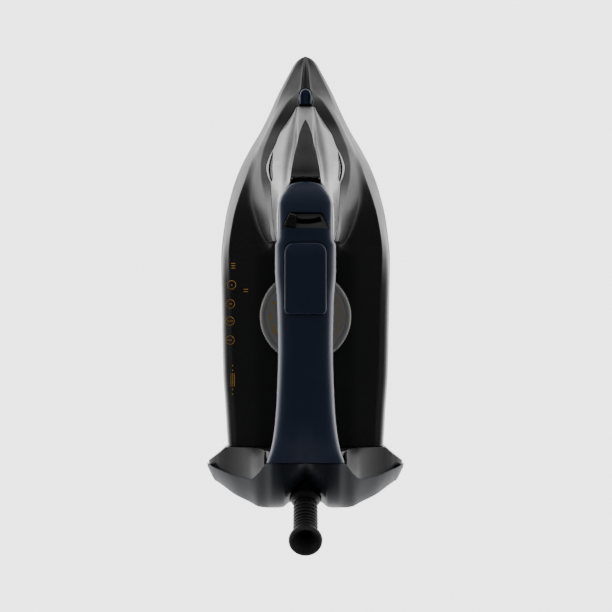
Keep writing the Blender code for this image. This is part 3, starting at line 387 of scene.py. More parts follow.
def hand_over(piece: Object, body: Body, slot: Slot, *stands_for: str) -> Object:
    """Puts a finished piece on its body, in the place of the CAD nodes that it stands for.

    Args:
        piece: The dressed piece.
        body: The body that it moves with.
        slot: Not used.
        *stands_for: CAD nodes that it hides.

    Returns:
        The piece.
    """
    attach(piece, body.value)
    if stands_for:
        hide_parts(*stands_for)
    LOG.info("%s: %d faces, rides on %s", piece.name, len(piece.data.polygons), body.value)
    return piece


# ---------------------------------------------------------------- finishes


def linear(colour: str) -> tuple[float, float, float, float]:
    """Turns an sRGB hex colour such as "1A2B3C" into the linear colour that shaders take."""
    values = [int(colour[i:i + 2], 16) / 255 for i in (0, 2, 4)]
    return (*(v / 12.92 if v <= 0.04045 else ((v + 0.055) / 1.055) ** 2.4 for v in values), 1.0)


def per_mm(size: float) -> float:
    """The scale at which a pattern on Object coordinates repeats every size millimetres."""
    return 1 / (size * MM)


def add_node(tree: bpy.types.NodeTree, kind: str, settings: dict | None = None,
             sockets: dict | None = None) -> bpy.types.Node:
    """Adds a node.

    Args:
        tree: The tree it goes in.
        kind: The node's type.
        settings: Its own properties.
        sockets: For each input, by name or number, an output to link or a value to set.

    Returns:
        The node.
    """
    node = tree.nodes.new(kind)
    for name, value in (settings or {}).items():
        setattr(node, name, value)
    for key, source in (sockets or {}).items():
        if isinstance(source, bpy.types.NodeSocket):
            tree.links.new(source, node.inputs[key])
        else:
            node.inputs[key].default_value = source
    return node


@dataclass(frozen=True)
class Finish:
    """A surface: two close tones that drift over it, its gloss, and its fine relief."""

    name: str
    tone: str
    drift_tone: str
    roughness: tuple[float, float]
    drift_mm: float = 18.0
    grain_mm: float = 0.5
    relief_mm: float = 0.004
    metallic: float = 0.0
    ior: float = 1.5
    coat: float = 0.0
    coat_roughness: float = 0.1
    transmission: float = 0.0
    specular: float = 0.5
    grain_stretch: tuple[float, float, float] = (1.0, 1.0, 1.0)

    def material(self) -> Material:
        """Builds the node tree.

        Returns:
            The material.
        """
        made = bpy.data.materials.new(self.name)
        made.use_nodes = True
        tree = made.node_tree
        shader = tree.nodes["Principled BSDF"]
        place = add_node(tree, "ShaderNodeTexCoord").outputs["Object"]
        drift = add_node(tree, "ShaderNodeTexNoise", sockets={
            "Vector": place, "Scale": per_mm(self.drift_mm), "Detail": 3.0, "Roughness": 0.55,
        }).outputs["Fac"]
        stretched = add_node(tree, "ShaderNodeMapping", sockets={
            "Vector": place, "Scale": self.grain_stretch,
        }).outputs["Vector"]
        grain = self.grain(tree, stretched)
        mask = self.tone_mask(tree, drift, grain)
        tones = add_node(tree, "ShaderNodeMix", {"data_type": "RGBA"}, {0: mask})
        tones.inputs[6].default_value = linear(self.tone)
        tones.inputs[7].default_value = linear(self.drift_tone)
        gloss = add_node(tree, "ShaderNodeMapRange", sockets={
            "Value": drift, "From Min": 0.3, "From Max": 0.7,
            "To Min": self.roughness[0], "To Max": self.roughness[1],
        })
        relief = add_node(tree, "ShaderNodeBump", sockets={
            "Height": grain, "Distance": self.relief_mm * MM, "Strength": 1.0,
        })
        tree.links.new(tones.outputs[2], shader.inputs["Base Color"])
        tree.links.new(gloss.outputs["Result"], shader.inputs["Roughness"])
        tree.links.new(relief.outputs["Normal"], shader.inputs["Normal"])
        shader.inputs["Metallic"].default_value = self.metallic
        if not self.metallic:
            shader.inputs["IOR"].default_value = self.ior
        shader.inputs["Specular IOR Level"].default_value = self.specular
        shader.inputs["Coat Weight"].default_value = self.coat
        shader.inputs["Coat Roughness"].default_value = self.coat_roughness
        shader.inputs["Transmission Weight"].default_value = self.transmission
        return made

    def grain(self, tree: bpy.types.NodeTree, place: bpy.types.NodeSocket) -> bpy.types.NodeSocket:
        """The height of the fine relief: the pebbled skin of a moulded part."""
        return add_node(tree, "ShaderNodeTexNoise", sockets={
            "Vector": place, "Scale": per_mm(self.grain_mm), "Detail": 2.0, "Roughness": 0.6,
        }).outputs["Fac"]

    def tone_mask(self, tree: bpy.types.NodeTree, drift: bpy.types.NodeSocket,
                  grain: bpy.types.NodeSocket) -> bpy.types.NodeSocket:
        """Where the second tone shows: here it drifts with the flow of the moulding."""
        return drift


@dataclass(frozen=True)
class FlakeFinish(Finish):
    """A finish whose second tone is in fine specks, such as metal flakes or ceramic grit."""

    speck_cut: float = 0.6

    def grain(self, tree: bpy.types.NodeTree, place: bpy.types.NodeSocket) -> bpy.types.NodeSocket:
        """Cells, one for each flake or grit."""
        return add_node(tree, "ShaderNodeTexVoronoi", {"feature": "F1"}, {
            "Vector": place, "Scale": per_mm(self.grain_mm),
        }).outputs["Distance"]

    def tone_mask(self, tree: bpy.types.NodeTree, drift: bpy.types.NodeSocket,
                  grain: bpy.types.NodeSocket) -> bpy.types.NodeSocket:
        """The cells' middles are the specks."""
        return add_node(tree, "ShaderNodeMapRange", sockets={
            "Value": grain, "From Min": self.speck_cut, "From Max": self.speck_cut * 0.4,
            "To Min": 0.0, "To Max": 1.0,
        }).outputs["Result"]


# ABS, moulded in a tool with a fine spark texture: dark and satin, so lights show on it as soft bands.
BLACK_ABS = Finish(
    "satin_black_abs", "1B1B1B", "202020", (0.30, 0.38),
    grain_mm=0.45, relief_mm=0.006, ior=1.5, specular=0.11,
)
# The same ABS in a smoother tool: the handle's blue-black, a little glossier where a hand polishes it.
NAVY_ABS = Finish(
    "smooth_navy_abs", "1E2639", "252E43", (0.30, 0.38),
    grain_mm=0.35, relief_mm=0.003, ior=1.5, specular=0.16,
)
# Slate ABS of the heel cape.
SLATE_ABS = Finish(
    "satin_slate_abs", "1A1D22", "20242A", (0.32, 0.40),
    grain_mm=0.45, relief_mm=0.006, ior=1.53, specular=0.03,
)
# Mid-grey ABS of the small plates behind the lever.
GREY_ABS = Finish(
    "satin_grey_abs", "3A3A3A", "454545", (0.36, 0.46),
    grain_mm=0.45, relief_mm=0.006, ior=1.53,
)
# Dyed polyamide of the dial: matt and even.
DIAL_NYLON = Finish(
    "matt_grey_nylon", "757573", "7D7D7A", (0.46, 0.56),
    grain_mm=0.5, relief_mm=0.008, ior=1.53,
)
# Glass-filled phenolic of the skirt over the hot sole: dull, with a coarser skin.
SKIRT_RESIN = Finish(
    "black_phenolic", "101010", "161615", (0.45, 0.6),
    grain_mm=0.8, relief_mm=0.015, ior=1.5, specular=0.10,
)
# Silver lacquer on ABS: aluminium flakes under a clear film.
SILVER_LACQUER = FlakeFinish(
    "silver_lacquer", "303031", "404042", (0.24, 0.32), grain_mm=0.35, relief_mm=0.0015, metallic=0.75,
    coat=0.35, coat_roughness=0.12, speck_cut=0.5,
)
# Smoked polycarbonate of the water door and the level windows: clear, deep grey, polished in the mould.
SMOKED_PC = Finish(
    "smoked_polycarbonate", "38363A", "3E3C40", (0.05, 0.09), grain_mm=2.0, relief_mm=0.0003, ior=1.12,
    transmission=1.0,
)
# Red polypropylene of the water inlet.
RED_PP = Finish(
    "dark_red_polypropylene", "4A0A10", "5A0F16", (0.34, 0.44),
    grain_mm=0.6, relief_mm=0.006, ior=1.49,
)
# Ceramic enamel on the sole: deep burgundy with fine grit that glints.
SOLE_CERAMIC = FlakeFinish(
    "burgundy_ceramic_enamel", "4A0B12", "6C1C25", (0.26, 0.36), grain_mm=0.6, relief_mm=0.002, ior=1.5,
    coat=0.06, coat_roughness=0.1, speck_cut=0.32, specular=0.12,
)
# Nitrile-blend PVC of the cord guard: soft black with a dull bloom.
CORD_RUBBER = Finish(
    "soft_black_pvc", "121214", "1C1C1F", (0.42, 0.56),
    grain_mm=0.7, relief_mm=0.01, ior=1.52,
)
# Gold pad-printing ink: bronze powder in a clear binder.
GOLD_INK = FlakeFinish(
    "gold_printing_ink", "A97C31", "D8B168", (0.34, 0.44), grain_mm=0.25, relief_mm=0.001, metallic=0.7,
    speck_cut=0.5,
)
# Die-cast aluminium of the heater block: dull silver with a coarse cast skin.
CAST_ALUMINIUM = Finish(
    "die_cast_aluminium", "B8B9BB", "A2A3A6", (0.42, 0.58), grain_mm=0.9, relief_mm=0.02, metallic=1.0,
)
# Drawn and plated steel: fine streaks along the piece.
DRAWN_STEEL = Finish(
    "drawn_plated_steel", "BEBFC2", "A9AAAE", (0.22, 0.34), grain_mm=0.5, relief_mm=0.002, metallic=1.0,
    grain_stretch=(1.0, 1.0, 0.08),
)
# Turned brass of the spray tip and the fuse cap.
TURNED_BRASS = Finish(
    "turned_brass", "C8A45A", "B5914A", (0.2, 0.32), grain_mm=0.4, relief_mm=0.002, metallic=1.0,
)
# Backdrop paper: matt and almost white. The cove also gives it an emission glow, painted light that is
# brightest round the iron.
BACKDROP_PAPER = Finish("backdrop_paper", "C4C4C3", "BEBEBC", (0.9, 0.95), drift_mm=400.0, grain_mm=3.0,
                        relief_mm=0.02)


class Finishes:
    """The materials, each made once."""

    def __init__(self) -> None:
        """Starts with none made."""
        self._made: dict[str, Material] = {}

    def of(self, finish: Finish) -> Material:
        """The material of a finish, made the first time that it is asked for."""
        if finish.name not in self._made:
            self._made[finish.name] = finish.material()
        return self._made[finish.name]


# ---------------------------------------------------------------- geometry node trees


def new_tree(name: str, inputs: dict[str, str]) -> tuple[bpy.types.NodeTree, dict]:
    """Starts a geometry tree with named inputs.

    Args:
        name: The tree's name.
        inputs: Each input's name and socket type, after the geometry.

    Returns:
        The tree and its inputs' sockets by name.
    """
    tree = bpy.data.node_groups.new(name, "GeometryNodeTree")
    tree.interface.new_socket("Geometry", in_out="INPUT", socket_type="NodeSocketGeometry")
    for label, kind in inputs.items():
        tree.interface.new_socket(label, in_out="INPUT", socket_type=kind)
    tree.interface.new_socket("Geometry", in_out="OUTPUT", socket_type="NodeSocketGeometry")
    start = tree.nodes.new("NodeGroupInput")
    return tree, {socket.name: socket for socket in start.outputs if socket.name}


def end_tree(tree: bpy.types.NodeTree, copies: bpy.types.NodeSocket, finish: bpy.types.NodeSocket) -> None:
    """Makes the copies real, gives them their finish and ends the tree."""
    real = add_node(tree, "GeometryNodeRealizeInstances", sockets={"Geometry": copies}).outputs["Geometry"]
    inked = add_node(tree, "GeometryNodeSetMaterial", sockets={"Geometry": real, "Material": finish})
    add_node(tree, "NodeGroupOutput", sockets={0: inked.outputs["Geometry"]})


def stamp_tree(stamp: Stamp) -> bpy.types.NodeTree:
    """A tree that sets one stamp on every point, turned by the point's turn attribute.

    Args:
        stamp: What is set there.

    Returns:
        The tree, whose inputs are Width, Length, Thickness and Finish.
    """
    tree, inputs = new_tree(f"{stamp.value}_stamps", {
        "Width": "NodeSocketFloat", "Length": "NodeSocketFloat", "Thickness": "NodeSocketFloat",
        "Finish": "NodeSocketMaterial",
    })
    if stamp is Stamp.BAR:
        size = add_node(tree, "ShaderNodeCombineXYZ", sockets={
            "X": inputs["Width"], "Y": inputs["Length"], "Z": inputs["Thickness"],
        })
        cube = add_node(tree, "GeometryNodeMeshCube", sockets={"Size": size.outputs["Vector"]})
        shape = cube.outputs["Mesh"]
    elif stamp is Stamp.DOT:
        radius = add_node(tree, "ShaderNodeMath", {"operation": "MULTIPLY"}, {0: inputs["Width"], 1: 0.5})
        shape = add_node(tree, "GeometryNodeMeshCylinder", sockets={
            "Vertices": 20, "Radius": radius.outputs[0], "Depth": inputs["Thickness"],
        }).outputs["Mesh"]
    else:
        radius = add_node(tree, "ShaderNodeMath", {"operation": "MULTIPLY"}, {0: inputs["Width"], 1: 0.5})
        path = add_node(tree, "GeometryNodeCurvePrimitiveCircle", sockets={
            "Resolution": 40, "Radius": radius.outputs[0],
        })
        section = add_node(tree, "GeometryNodeCurvePrimitiveQuadrilateral", sockets={
            "Width": inputs["Length"], "Height": inputs["Thickness"],
        })
        shape = add_node(tree, "GeometryNodeCurveToMesh", sockets={
            "Curve": path.outputs["Curve"], "Profile Curve": section.outputs["Curve"],
        }).outputs["Mesh"]
    turn = add_node(tree, "GeometryNodeInputNamedAttribute", {"data_type": "FLOAT_VECTOR"}, {"Name": "turn"})
    rotation = add_node(tree, "FunctionNodeEulerToRotation", sockets={"Euler": turn.outputs["Attribute"]})
    copies = add_node(tree, "GeometryNodeInstanceOnPoints", sockets={
        "Points": inputs["Geometry"], "Instance": shape, "Rotation": rotation.outputs["Rotation"],
    })
    end_tree(tree, copies.outputs["Instances"], inputs["Finish"])
    return tree


def rib_tree() -> bpy.types.NodeTree:
    """A tree that sets round ribs along a path, square to it.

    Returns:
        The tree, whose inputs are Ribs, Radius, Bead and Finish.
    """
    tree, inputs = new_tree("cord_guard_ribs", {
        "Ribs": "NodeSocketInt", "Radius": "NodeSocketFloat", "Bead": "NodeSocketFloat",
        "Finish": "NodeSocketMaterial",
    })
    path = add_node(tree, "GeometryNodeMeshToCurve", sockets={"Mesh": inputs["Geometry"]})
    places = add_node(tree, "GeometryNodeResampleCurve", sockets={
        "Curve": path.outputs["Curve"], "Count": inputs["Ribs"],
    })
    ring = add_node(tree, "GeometryNodeCurvePrimitiveCircle", sockets={
        "Resolution": 44, "Radius": inputs["Radius"],
    })
    bead = add_node(tree, "GeometryNodeCurvePrimitiveCircle", sockets={
        "Resolution": 10, "Radius": inputs["Bead"],
    })
    rib = add_node(tree, "GeometryNodeCurveToMesh", sockets={
        "Curve": ring.outputs["Curve"], "Profile Curve": bead.outputs["Curve"],
    })
    tangent = add_node(tree, "GeometryNodeInputTangent")
    facing = add_node(tree, "FunctionNodeAlignRotationToVector", {"axis": "Z"}, {
        "Vector": tangent.outputs["Tangent"],
    })
    copies = add_node(tree, "GeometryNodeInstanceOnPoints", sockets={
        "Points": places.outputs["Curve"], "Instance": rib.outputs["Mesh"],
        "Rotation": facing.outputs["Rotation"],
    })
    end_tree(tree, copies.outputs["Instances"], inputs["Finish"])
    return tree


def grow_tree(host: Object, tree: bpy.types.NodeTree, values: dict) -> Object:
    """Runs a geometry tree on a host piece and keeps the result as its plain mesh.

    Args:
        host: The piece that holds the points or the path.
        tree: The tree.
        values: The value of each named input.

    Returns:
        The piece, with its new mesh and no modifier.
    """
    modifier = host.modifiers.new("copies", "NODES")
    modifier.node_group = tree
    for item in tree.interface.items_tree:
        if item.in_out == "INPUT" and item.name in values:
            modifier[item.identifier] = values[item.name]
    settle(host)
    shape = bmesh.new()
    shape.from_mesh(host.data)
    bmesh.ops.recalc_face_normals(shape, faces=shape.faces)
    shape.to_mesh(host.data)
    shape.free()
    return host


def point_host(name: str, places: list[tuple[Vector, Vector]]) -> Object:
    """An object of loose points, in millimetres, each with its turn about X, Y and Z in radians."""
    mesh = bpy.data.meshes.new(name)
    mesh.from_pydata([tuple(point * MM) for point, _ in places], [], [])
    turns = mesh.attributes.new("turn", "FLOAT_VECTOR", "POINT")
    for i, (_, turn) in enumerate(places):
        turns.data[i].vector = turn
    made = bpy.data.objects.new(name, mesh)
    bpy.context.scene.collection.objects.link(made)
    return made


def merged(pieces: list[Object], name: str) -> Object:
    """Joins loose pieces into one object, keeping each one's materials."""
    whole = pieces[0]
    context = {"active_object": whole, "selected_editable_objects": pieces, "selected_objects": pieces}
    with bpy.context.temp_override(**context):
        bpy.ops.object.join()
    whole.name = name
    whole.data.name = name
    return whole


# ---------------------------------------------------------------- housing


@dataclass
class HousingForm:
    """The skin of the housing. The trim, the door and the prints follow it too."""

    base: float = 14.0
    column_rear: float = 46.0
    outline: Table = (
        (166.6, 0.6), (166.1, 2.4), (165.0, 4.4), (163.0, 6.2), (157.6, 9.3), (150.0, 13.4),
        (142.3, 17.3), (130.8, 22.4), (119.2, 28.2), (106.4, 35.8), (93.6, 42.2), (80.8, 46.7),
        (61.6, 51.2), (36.0, 53.8), (0.0, 53.2), (-34.4, 52.5), (-60.0, 50.9), (-82.0, 49.7),
    )
    rear_corner: Table = (
        (49.0, -84.0), (45.0, -88.6), (36.0, -91.2), (18.0, -92.3), (0.0, -92.5),
    )
    belt_z: Table = (
        (166.6, 14.6), (157.0, 15.0), (112.0, 16.0), (60.0, 17.0), (40.0, 22.0), (20.0, 28.0),
        (-82.0, 29.5),
    )
    crease_in: Table = (
        (166.6, 0.2), (163.0, 0.9), (157.0, 1.3), (145.5, 1.8), (130.0, 2.6), (112.0, 4.2),
        (104.4, 5.2), (87.0, 6.6), (75.0, 6.0), (50.0, 5.0), (30.0, 5.6), (0.0, 6.3), (-82.0, 6.3),
    )
    crease_z: Table = (
        (166.6, 16.0), (157.0, 17.6), (145.5, 20.0), (130.0, 25.0), (112.0, 31.5), (104.0, 34.5),
        (87.0, 37.0), (50.0, 37.5), (30.0, 39.0), (0.0, 40.0), (-82.0, 40.0),
    )
    side_bulge: Table = (
        (166.6, 0.0), (60.0, 0.3), (30.0, 1.4), (0.0, 1.9), (-82.0, 1.9),
    )
    foot: Table = (
        (166.6, 0.6, 16.9), (163.0, 3.6, 18.2), (157.0, 5.4, 20.5), (145.5, 9.0, 25.5),
        (137.5, 13.5, 29.0), (123.8, 21.5, 34.5), (114.1, 26.0, 37.5), (104.4, 30.2, 40.5),
        (94.1, 32.3, 42.0), (86.7, 34.0, 41.8), (75.5, 34.5, 42.0), (61.6, 31.0, 43.5),
        (50.7, 26.5, 45.0), (46.0, 23.5, 46.5),
    )
    hood: Table = (
        (166.6, 0.5, 17.1), (163.0, 1.7, 19.2), (157.0, 2.7, 23.2), (145.5, 4.2, 30.6),
        (141.0, 6.6, 32.4), (137.5, 10.2, 33.5), (123.8, 18.6, 40.0), (114.1, 22.9, 44.0),
        (104.4, 26.4, 48.5), (94.1, 28.1, 53.0), (86.7, 27.7, 57.0), (75.5, 25.5, 64.0),
        (61.6, 22.5, 76.0), (50.7, 21.0, 90.0), (46.0, 19.6, 97.0),
    )
    trim_edge: Table = (
        (166.6, 0.35, 17.3), (163.0, 1.3, 19.6), (157.0, 2.0, 24.2), (145.5, 3.3, 32.0),
        (141.0, 4.0, 35.0), (137.5, 4.6, 37.5), (132.5, 5.8, 40.0), (122.8, 11.4, 44.0),
        (114.6, 16.4, 48.5), (106.7, 19.3, 53.0), (99.6, 22.8, 55.5), (93.0, 24.6, 58.0),
        (87.5, 23.7, 61.5), (82.0, 21.7, 67.0), (71.3, 20.9, 76.0), (59.8, 20.1, 86.0),
        (47.8, 18.1, 98.0), (46.0, 17.7, 99.5),
    )
    lobe: Table = (
        (166.6, 0.3, 17.4), (157.0, 1.7, 24.6), (145.5, 2.9, 32.8), (137.5, 4.3, 38.4),
        (132.5, 5.4, 40.3), (122.8, 8.4, 50.3), (114.6, 10.2, 60.3), (106.7, 11.6, 69.2),
        (99.6, 12.6, 76.8), (93.0, 13.3, 84.0), (87.5, 13.8, 89.5), (82.0, 14.2, 95.0),
        (76.0, 15.2, 98.5), (71.3, 16.3, 101.5), (59.8, 17.2, 105.0), (46.0, 17.2, 106.0),
    )
    groove: Table = (
        (166.6, 0.2, 17.4), (157.0, 1.3, 24.6), (145.5, 2.2, 33.0), (137.5, 3.6, 38.8),
        (132.5, 4.9, 40.6), (122.8, 6.2, 49.6), (114.6, 6.8, 58.6), (106.7, 7.4, 67.8),
        (99.6, 8.6, 76.3), (93.0, 9.8, 84.6), (87.5, 10.4, 91.4), (82.0, 10.9, 98.6),
        (79.6, 11.2, 102.5), (76.0, 12.4, 104.6), (71.3, 14.6, 106.0), (67.6, 15.6, 107.3),
        (59.8, 15.8, 109.0), (46.0, 15.9, 110.5),
    )
    spine_edge: Table = (
        (166.6, 0.15, 17.6), (157.0, 0.9, 25.0), (145.5, 1.5, 33.4), (137.5, 2.8, 39.2),
        (132.5, 4.0, 41.8), (122.8, 4.3, 54.0), (114.6, 4.6, 64.8), (106.7, 4.9, 75.3),
        (99.6, 6.7, 83.9), (93.0, 8.0, 92.0), (87.5, 8.8, 98.3), (82.0, 9.3, 103.8), (80.6, 9.6, 103.9),
        (76.0, 10.6, 104.6), (71.3, 12.0, 106.0), (59.8, 12.6, 108.6), (46.0, 12.6, 111.0),
    )
    spine_top: Table = (
        (166.6, 17.8), (163.0, 21.0), (157.0, 25.4), (145.5, 33.8), (141.0, 37.0), (137.5, 39.6),
        (132.5, 42.5), (122.8, 55.0), (114.6, 66.0), (106.7, 76.5), (99.6, 85.5), (93.0, 94.0),
        (87.5, 100.3), (82.0, 105.7), (80.6, 105.6), (76.0, 105.7), (71.3, 106.6), (59.8, 109.0),
        (46.0, 111.5),
    )
    deck_rails: tuple = (
        ((45.7, 24.0, 46.8), (42.0, 26.0, 45.8), (36.0, 30.0, 45.2), (-82.0, 30.0, 44.6)),
        ((45.7, 20.5, 53.0), (42.0, 21.0, 48.5), (36.0, 20.0, 46.0), (-82.0, 20.0, 45.6)),
        ((45.7, 17.7, 53.5), (42.0, 16.0, 49.0), (36.0, 14.0, 46.2), (-82.0, 14.0, 46.0)),
        ((45.7, 14.0, 53.8), (42.0, 12.0, 49.2), (36.0, 10.0, 46.2), (-82.0, 10.0, 46.0)),
        ((45.7, 10.0, 54.0), (42.0, 9.0, 49.2), (36.0, 7.0, 46.2), (-82.0, 7.0, 46.0)),
        ((45.7, 6.0, 54.0), (42.0, 5.0, 49.2), (36.0, 4.0, 46.2), (-82.0, 4.0, 46.0)),
    )
    deck_top: Table = (
        (45.7, 54.0), (42.0, 49.2), (36.0, 46.2), (-82.0, 46.0),
    )
    wall_softness: tuple[float, ...] = (0.4, 1.4, 5.0, 0.9, 3.5, 1.1)
    top_softness: tuple[float, ...] = (0.35, 5.0, 2.6, 1.2, 4.0)

    def half_section(self, y: float) -> Loop:
        """Right half of the section at y, from the bottom edge up to the centre line.

        Args:
            y: The station.

        Returns:
            Eleven corners as (x, z).
        """
        half = along_table(self.outline, y)
        belt = (half - 0.2, along_table(self.belt_z, y))
        crease = (half - along_table(self.crease_in, y), along_table(self.crease_z, y))
        bulge = along_table(self.side_bulge, y)
        side = ((belt[0] + crease[0]) / 2 + bulge, (belt[1] + crease[1]) / 2 + bulge)
        rails, top = self.deck_rails, self.deck_top
        if y >= self.column_rear:
            rails = (self.foot, self.hood, self.trim_edge, self.lobe, self.groove, self.spine_edge)
            top = self.spine_top
        above = [(along_table(rail, y, 1), along_table(rail, y, 2)) for rail in rails]
        return [(half, self.base), belt, side, crease, *above, (0.0, along_table(top, y))]

    def ring(self, y: float) -> Ring:
        """The whole section at y with its corners softened, as points."""
        half = self.wall_softness + self.top_softness
        softness = [*half, *reversed(half[:-1])]
        return [(x, y, z) for x, z in rounded(mirrored(self.half_section(y)), softness, 5)]

    def surface(self, y: float, drop: float = 0.0) -> Loop:
        """The skin over the top at y, from one trim edge to the other, let down by a drop.

        Args:
            y: The station.
            drop: How far below the skin.

        Returns:
            The corners as (x, z), narrowed so that a lower layer keeps inside the one above.
        """
        corners = mirrored(self.half_section(y)[6:])
        narrow = 1.0 - 0.62 * drop / corners[0][0]
        return [(x * narrow, z - drop) for x, z in corners]

    def band(self, name: str, above: float, below: float, first: float, last: float) -> Object:
        """The skin between the trim's edges as a solid layer.

        Args:
            name: The object's name.
            above: Depth of its upper face under the skin.
            below: Depth of its lower face.
            first: Its front station.
            last: Its rear station.

        Returns:
            The solid.
        """
        upper = self.top_softness[1:]
        softness = [0.45, *upper, *reversed(upper[:-1]), 0.45]
        stations = [first, *(y for y in self.stations() if last + 0.2 < y < first - 0.2), last]
        rings = []
        for y in stations:
            corners = self.surface(y, above) + self.surface(y, below)[::-1]
            loop = rounded(corners, softness + [0.2, *softness[1:-1], 0.2], 5)
            rings.append([(x, y, z) for x, z in loop])
        return loft(name, rings)

    def stations(self) -> list[float]:
        """Where sections are taken, closer together where the form turns faster."""
        places = [
            *spread(self.outline[0][0], 163.0, 0.45), *spread(163.0, 132.5, 1.0), *spread(132.5, 46.0, 1.15),
            *spread(45.7, 36.0, 0.65), *spread(36.0, -82.0, 4.0),
        ]
        return sorted({round(y, 3) for y in places}, reverse=True)

    def plan(self, grow: float, blunt: float = 0.8) -> Loop:
        """The outline in plan with its rounded rear.

        Args:
            grow: How far the outline is grown.
            blunt: How narrow the nose may get, against its width.

        Returns:
            The closed outline as (x, y).
        """
        stations = [*spread(166.2, 150.0, 0.8), *spread(148.0, 40.0, 2.0), *spread(36.0, -76.0, 8.0)]
        right = [(along_table(self.outline, y), y) for y in stations]
        right = [point for point in right if point[0] > 1.8 * blunt]
        side_count = len(right)
        right += list(self.rear_corner)
        whole = [(0.0, right[0][1] + 0.2 * right[0][0]), *right, *((-x, y) for x, y in reversed(right[:-1]))]
        half_softness = [0.0] * side_count + [5.0] * (len(right) - side_count)
        softness = [0.8, *half_softness, *reversed(half_softness[:-1])]
        return grown(rounded(whole, softness), -grow, closed=True)

    def height(self, x: float, y: float) -> float:
        """Height of the skin over a point in plan."""
        corners = self.half_section(y)[3:]
        for (x1, z1), (x2, z2) in zip(corners, corners[1:]):
            if x2 <= abs(x) <= x1:
                return z1 + (z2 - z1) * (x1 - abs(x)) / (x1 - x2)
        return corners[0][1]


@dataclass
class BodyUnit:
    """The housing, the skirt under it and the soleplate."""

    form: HousingForm
    finishes: Finishes
    inlet: Vector
    inlet_tilt: float
    sole_top: float = 5.0
    skirt_base: float = 5.3
    pocket_depth: float = 3.3
    trim_front: float = 132.5
    cavity_depths: tuple[float, ...] = (2.6, 2.8, 2.8, 3.2, 3.4, 7.0, 9.5, 10.5, 10.0, 11.0, 12.0)
    cavity_stations: tuple[float, ...] = (
        156.0, 146.0, 137.5, 127.5, 114.6, 99.6, 87.5, 76.0, 65.0, 53.0, 49.0, 48.6, 42.5, 33.0, 0.0,
        -41.0, -79.4,
    )
    column_wall: float = 49.0
    deck_front: float = 42.5
    vent_rows: tuple[float, ...] = (134.0, 116.0, 98.0, 80.0, 62.0, 44.0, 26.0)
    vent_radius: float = 1.5
    screw_at: Flat = (24.0, 32.0)

    def build(self, cap_plan: Loop) -> None:
        """Builds the three pieces.

        Args:
            cap_plan: Outline in plan of the handle's front, which the housing keeps clear of its pocket.
        """
        housing = loft("iron_housing", [self.form.ring(y) for y in self.form.stations()])
        pocket = carve(self.pocket(), [prism("cap_guard", cap_plan, 60.0, 140.0)])
        carve(housing, [self.cavity()])
        carve(housing, [pocket, *self.openings()])
        hand_over(dress(housing, self.finishes.of(BLACK_ABS)), Body.SHELL, Slot.BLACK, "body_housing")
        self.build_skirt()
        self.build_sole()

    def cavity(self) -> Object:
        """The hollow inside the housing."""
        thin = (*self.cavity_depths[:5], *[self.cavity_depths[4]] * 6)
        rings = []
        for y in self.cavity_stations:
            depths = self.cavity_depths if self.column_wall <= y <= 137.0 else thin
            at = y if y >= self.column_wall else min(y, self.deck_front)
            extra = 1.8 if y > 137.0 else 0.0
            half = []
            for (x, z), depth in zip(self.form.half_section(at), depths):
                ray = Vector((x, z - 10.0))
                ray *= max(0.05, 1 - (depth + extra) / max(ray.length, 0.01))
                half.append((ray.x, ray.y + 10.0))
            half[0] = (half[0][0], self.form.base - 4)
            rings.append([(x, y, z) for x, z in mirrored(half)])
        return loft("cavity", rings)

    def pocket(self) -> Object:
        """The recess that the trim, the door and the windows lie in."""
        upper = self.form.top_softness[1:]
        softness = [0.0, 0.3, 0.0, *upper, *reversed(upper[:-1]), 0.0, 0.3, 0.0]
        first, last = self.trim_front + GAP, 45.0
        stations = [first, *(y for y in self.form.stations() if last < y < first - 0.2), last]
        rings = []
        for y in stations:
            at = max(y, self.form.column_rear)
            edge_x, edge_z = self.form.surface(at)[0]
            edge_x, edge_z = edge_x + 0.3, edge_z - 0.3
            corners = [(edge_x, 140.0), (edge_x, edge_z), *self.form.surface(at, self.pocket_depth),
                       (-edge_x, edge_z), (-edge_x, 140.0)]
            rings.append([(x, y, z) for x, z in rounded(corners, softness, 4)])
        return loft("pocket", rings)

    def openings(self) -> list[Object]:
        """Tool solids for the holes that pipes, rods, leads and screws go through."""
        reach = 5.9
        outline = [(-reach, -reach), (reach, -reach), (reach, reach), (-reach, reach)]
        inlet = prism("inlet_hole", rounded(outline, [1.2] * 4), -22.0, -1.0)
        moved(inlet, Matrix.Translation(self.inlet * MM) @ Matrix.Rotation(self.inlet_tilt, 4, "X"))
        x, z = self.screw_at
        return [
            inlet,
            block("door_sweep", (-9.5, 79.8, 101.3), (9.5, 85.4, 112.0)),
            block("nozzle_seat", (-4.2, 133.1, 34.0), (4.2, 144.6, 50.0)),
            rod("spindle_hole", 4.0, (0, 0, 30), (0, 0, 60)),
            rod("tube_hole", 1.7, (0, 124.0, 33.0), (0, 134.0, 36.6)),
            rod("valve_hole", 1.8, (0, 52.0, 90), (0, 52.0, 116)),
            block("lead_slot", (-14, -84, 17), (14, -78, 27)),
            rod("screw_hole_right", 1.9, (x, -84, z), (x, -78, z)),
            rod("screw_hole_left", 1.9, (-x, -84, z), (-x, -78, z)),
        ]

    def build_skirt(self) -> None:
        """The skirt, with a bead round its lower edge."""
        base, top = self.skirt_base, self.form.base - GAP
        rings = [
            [(x, y, z) for x, y in self.form.plan(grow, 0.4)]
            for grow, z in (
                (-0.7, base), (-0.3, base + 0.4), (-0.3, base + 1.6), (-0.9, base + 2.2),
                (-0.9, top - 1.6), (-0.3, top - 1.0), (-0.3, top - 0.3), (-0.6, top),
            )
        ]
        skirt = loft("sole_skirt", rings)
        hollow = prism("skirt_hollow", self.form.plan(-2.9, 2.8), base - 2.0, top + 2.0)
        carve(skirt, [hollow])
        hand_over(dress(skirt, self.finishes.of(SKIRT_RESIN)), Body.SHELL, Slot.BLACK, "heat_skirt")

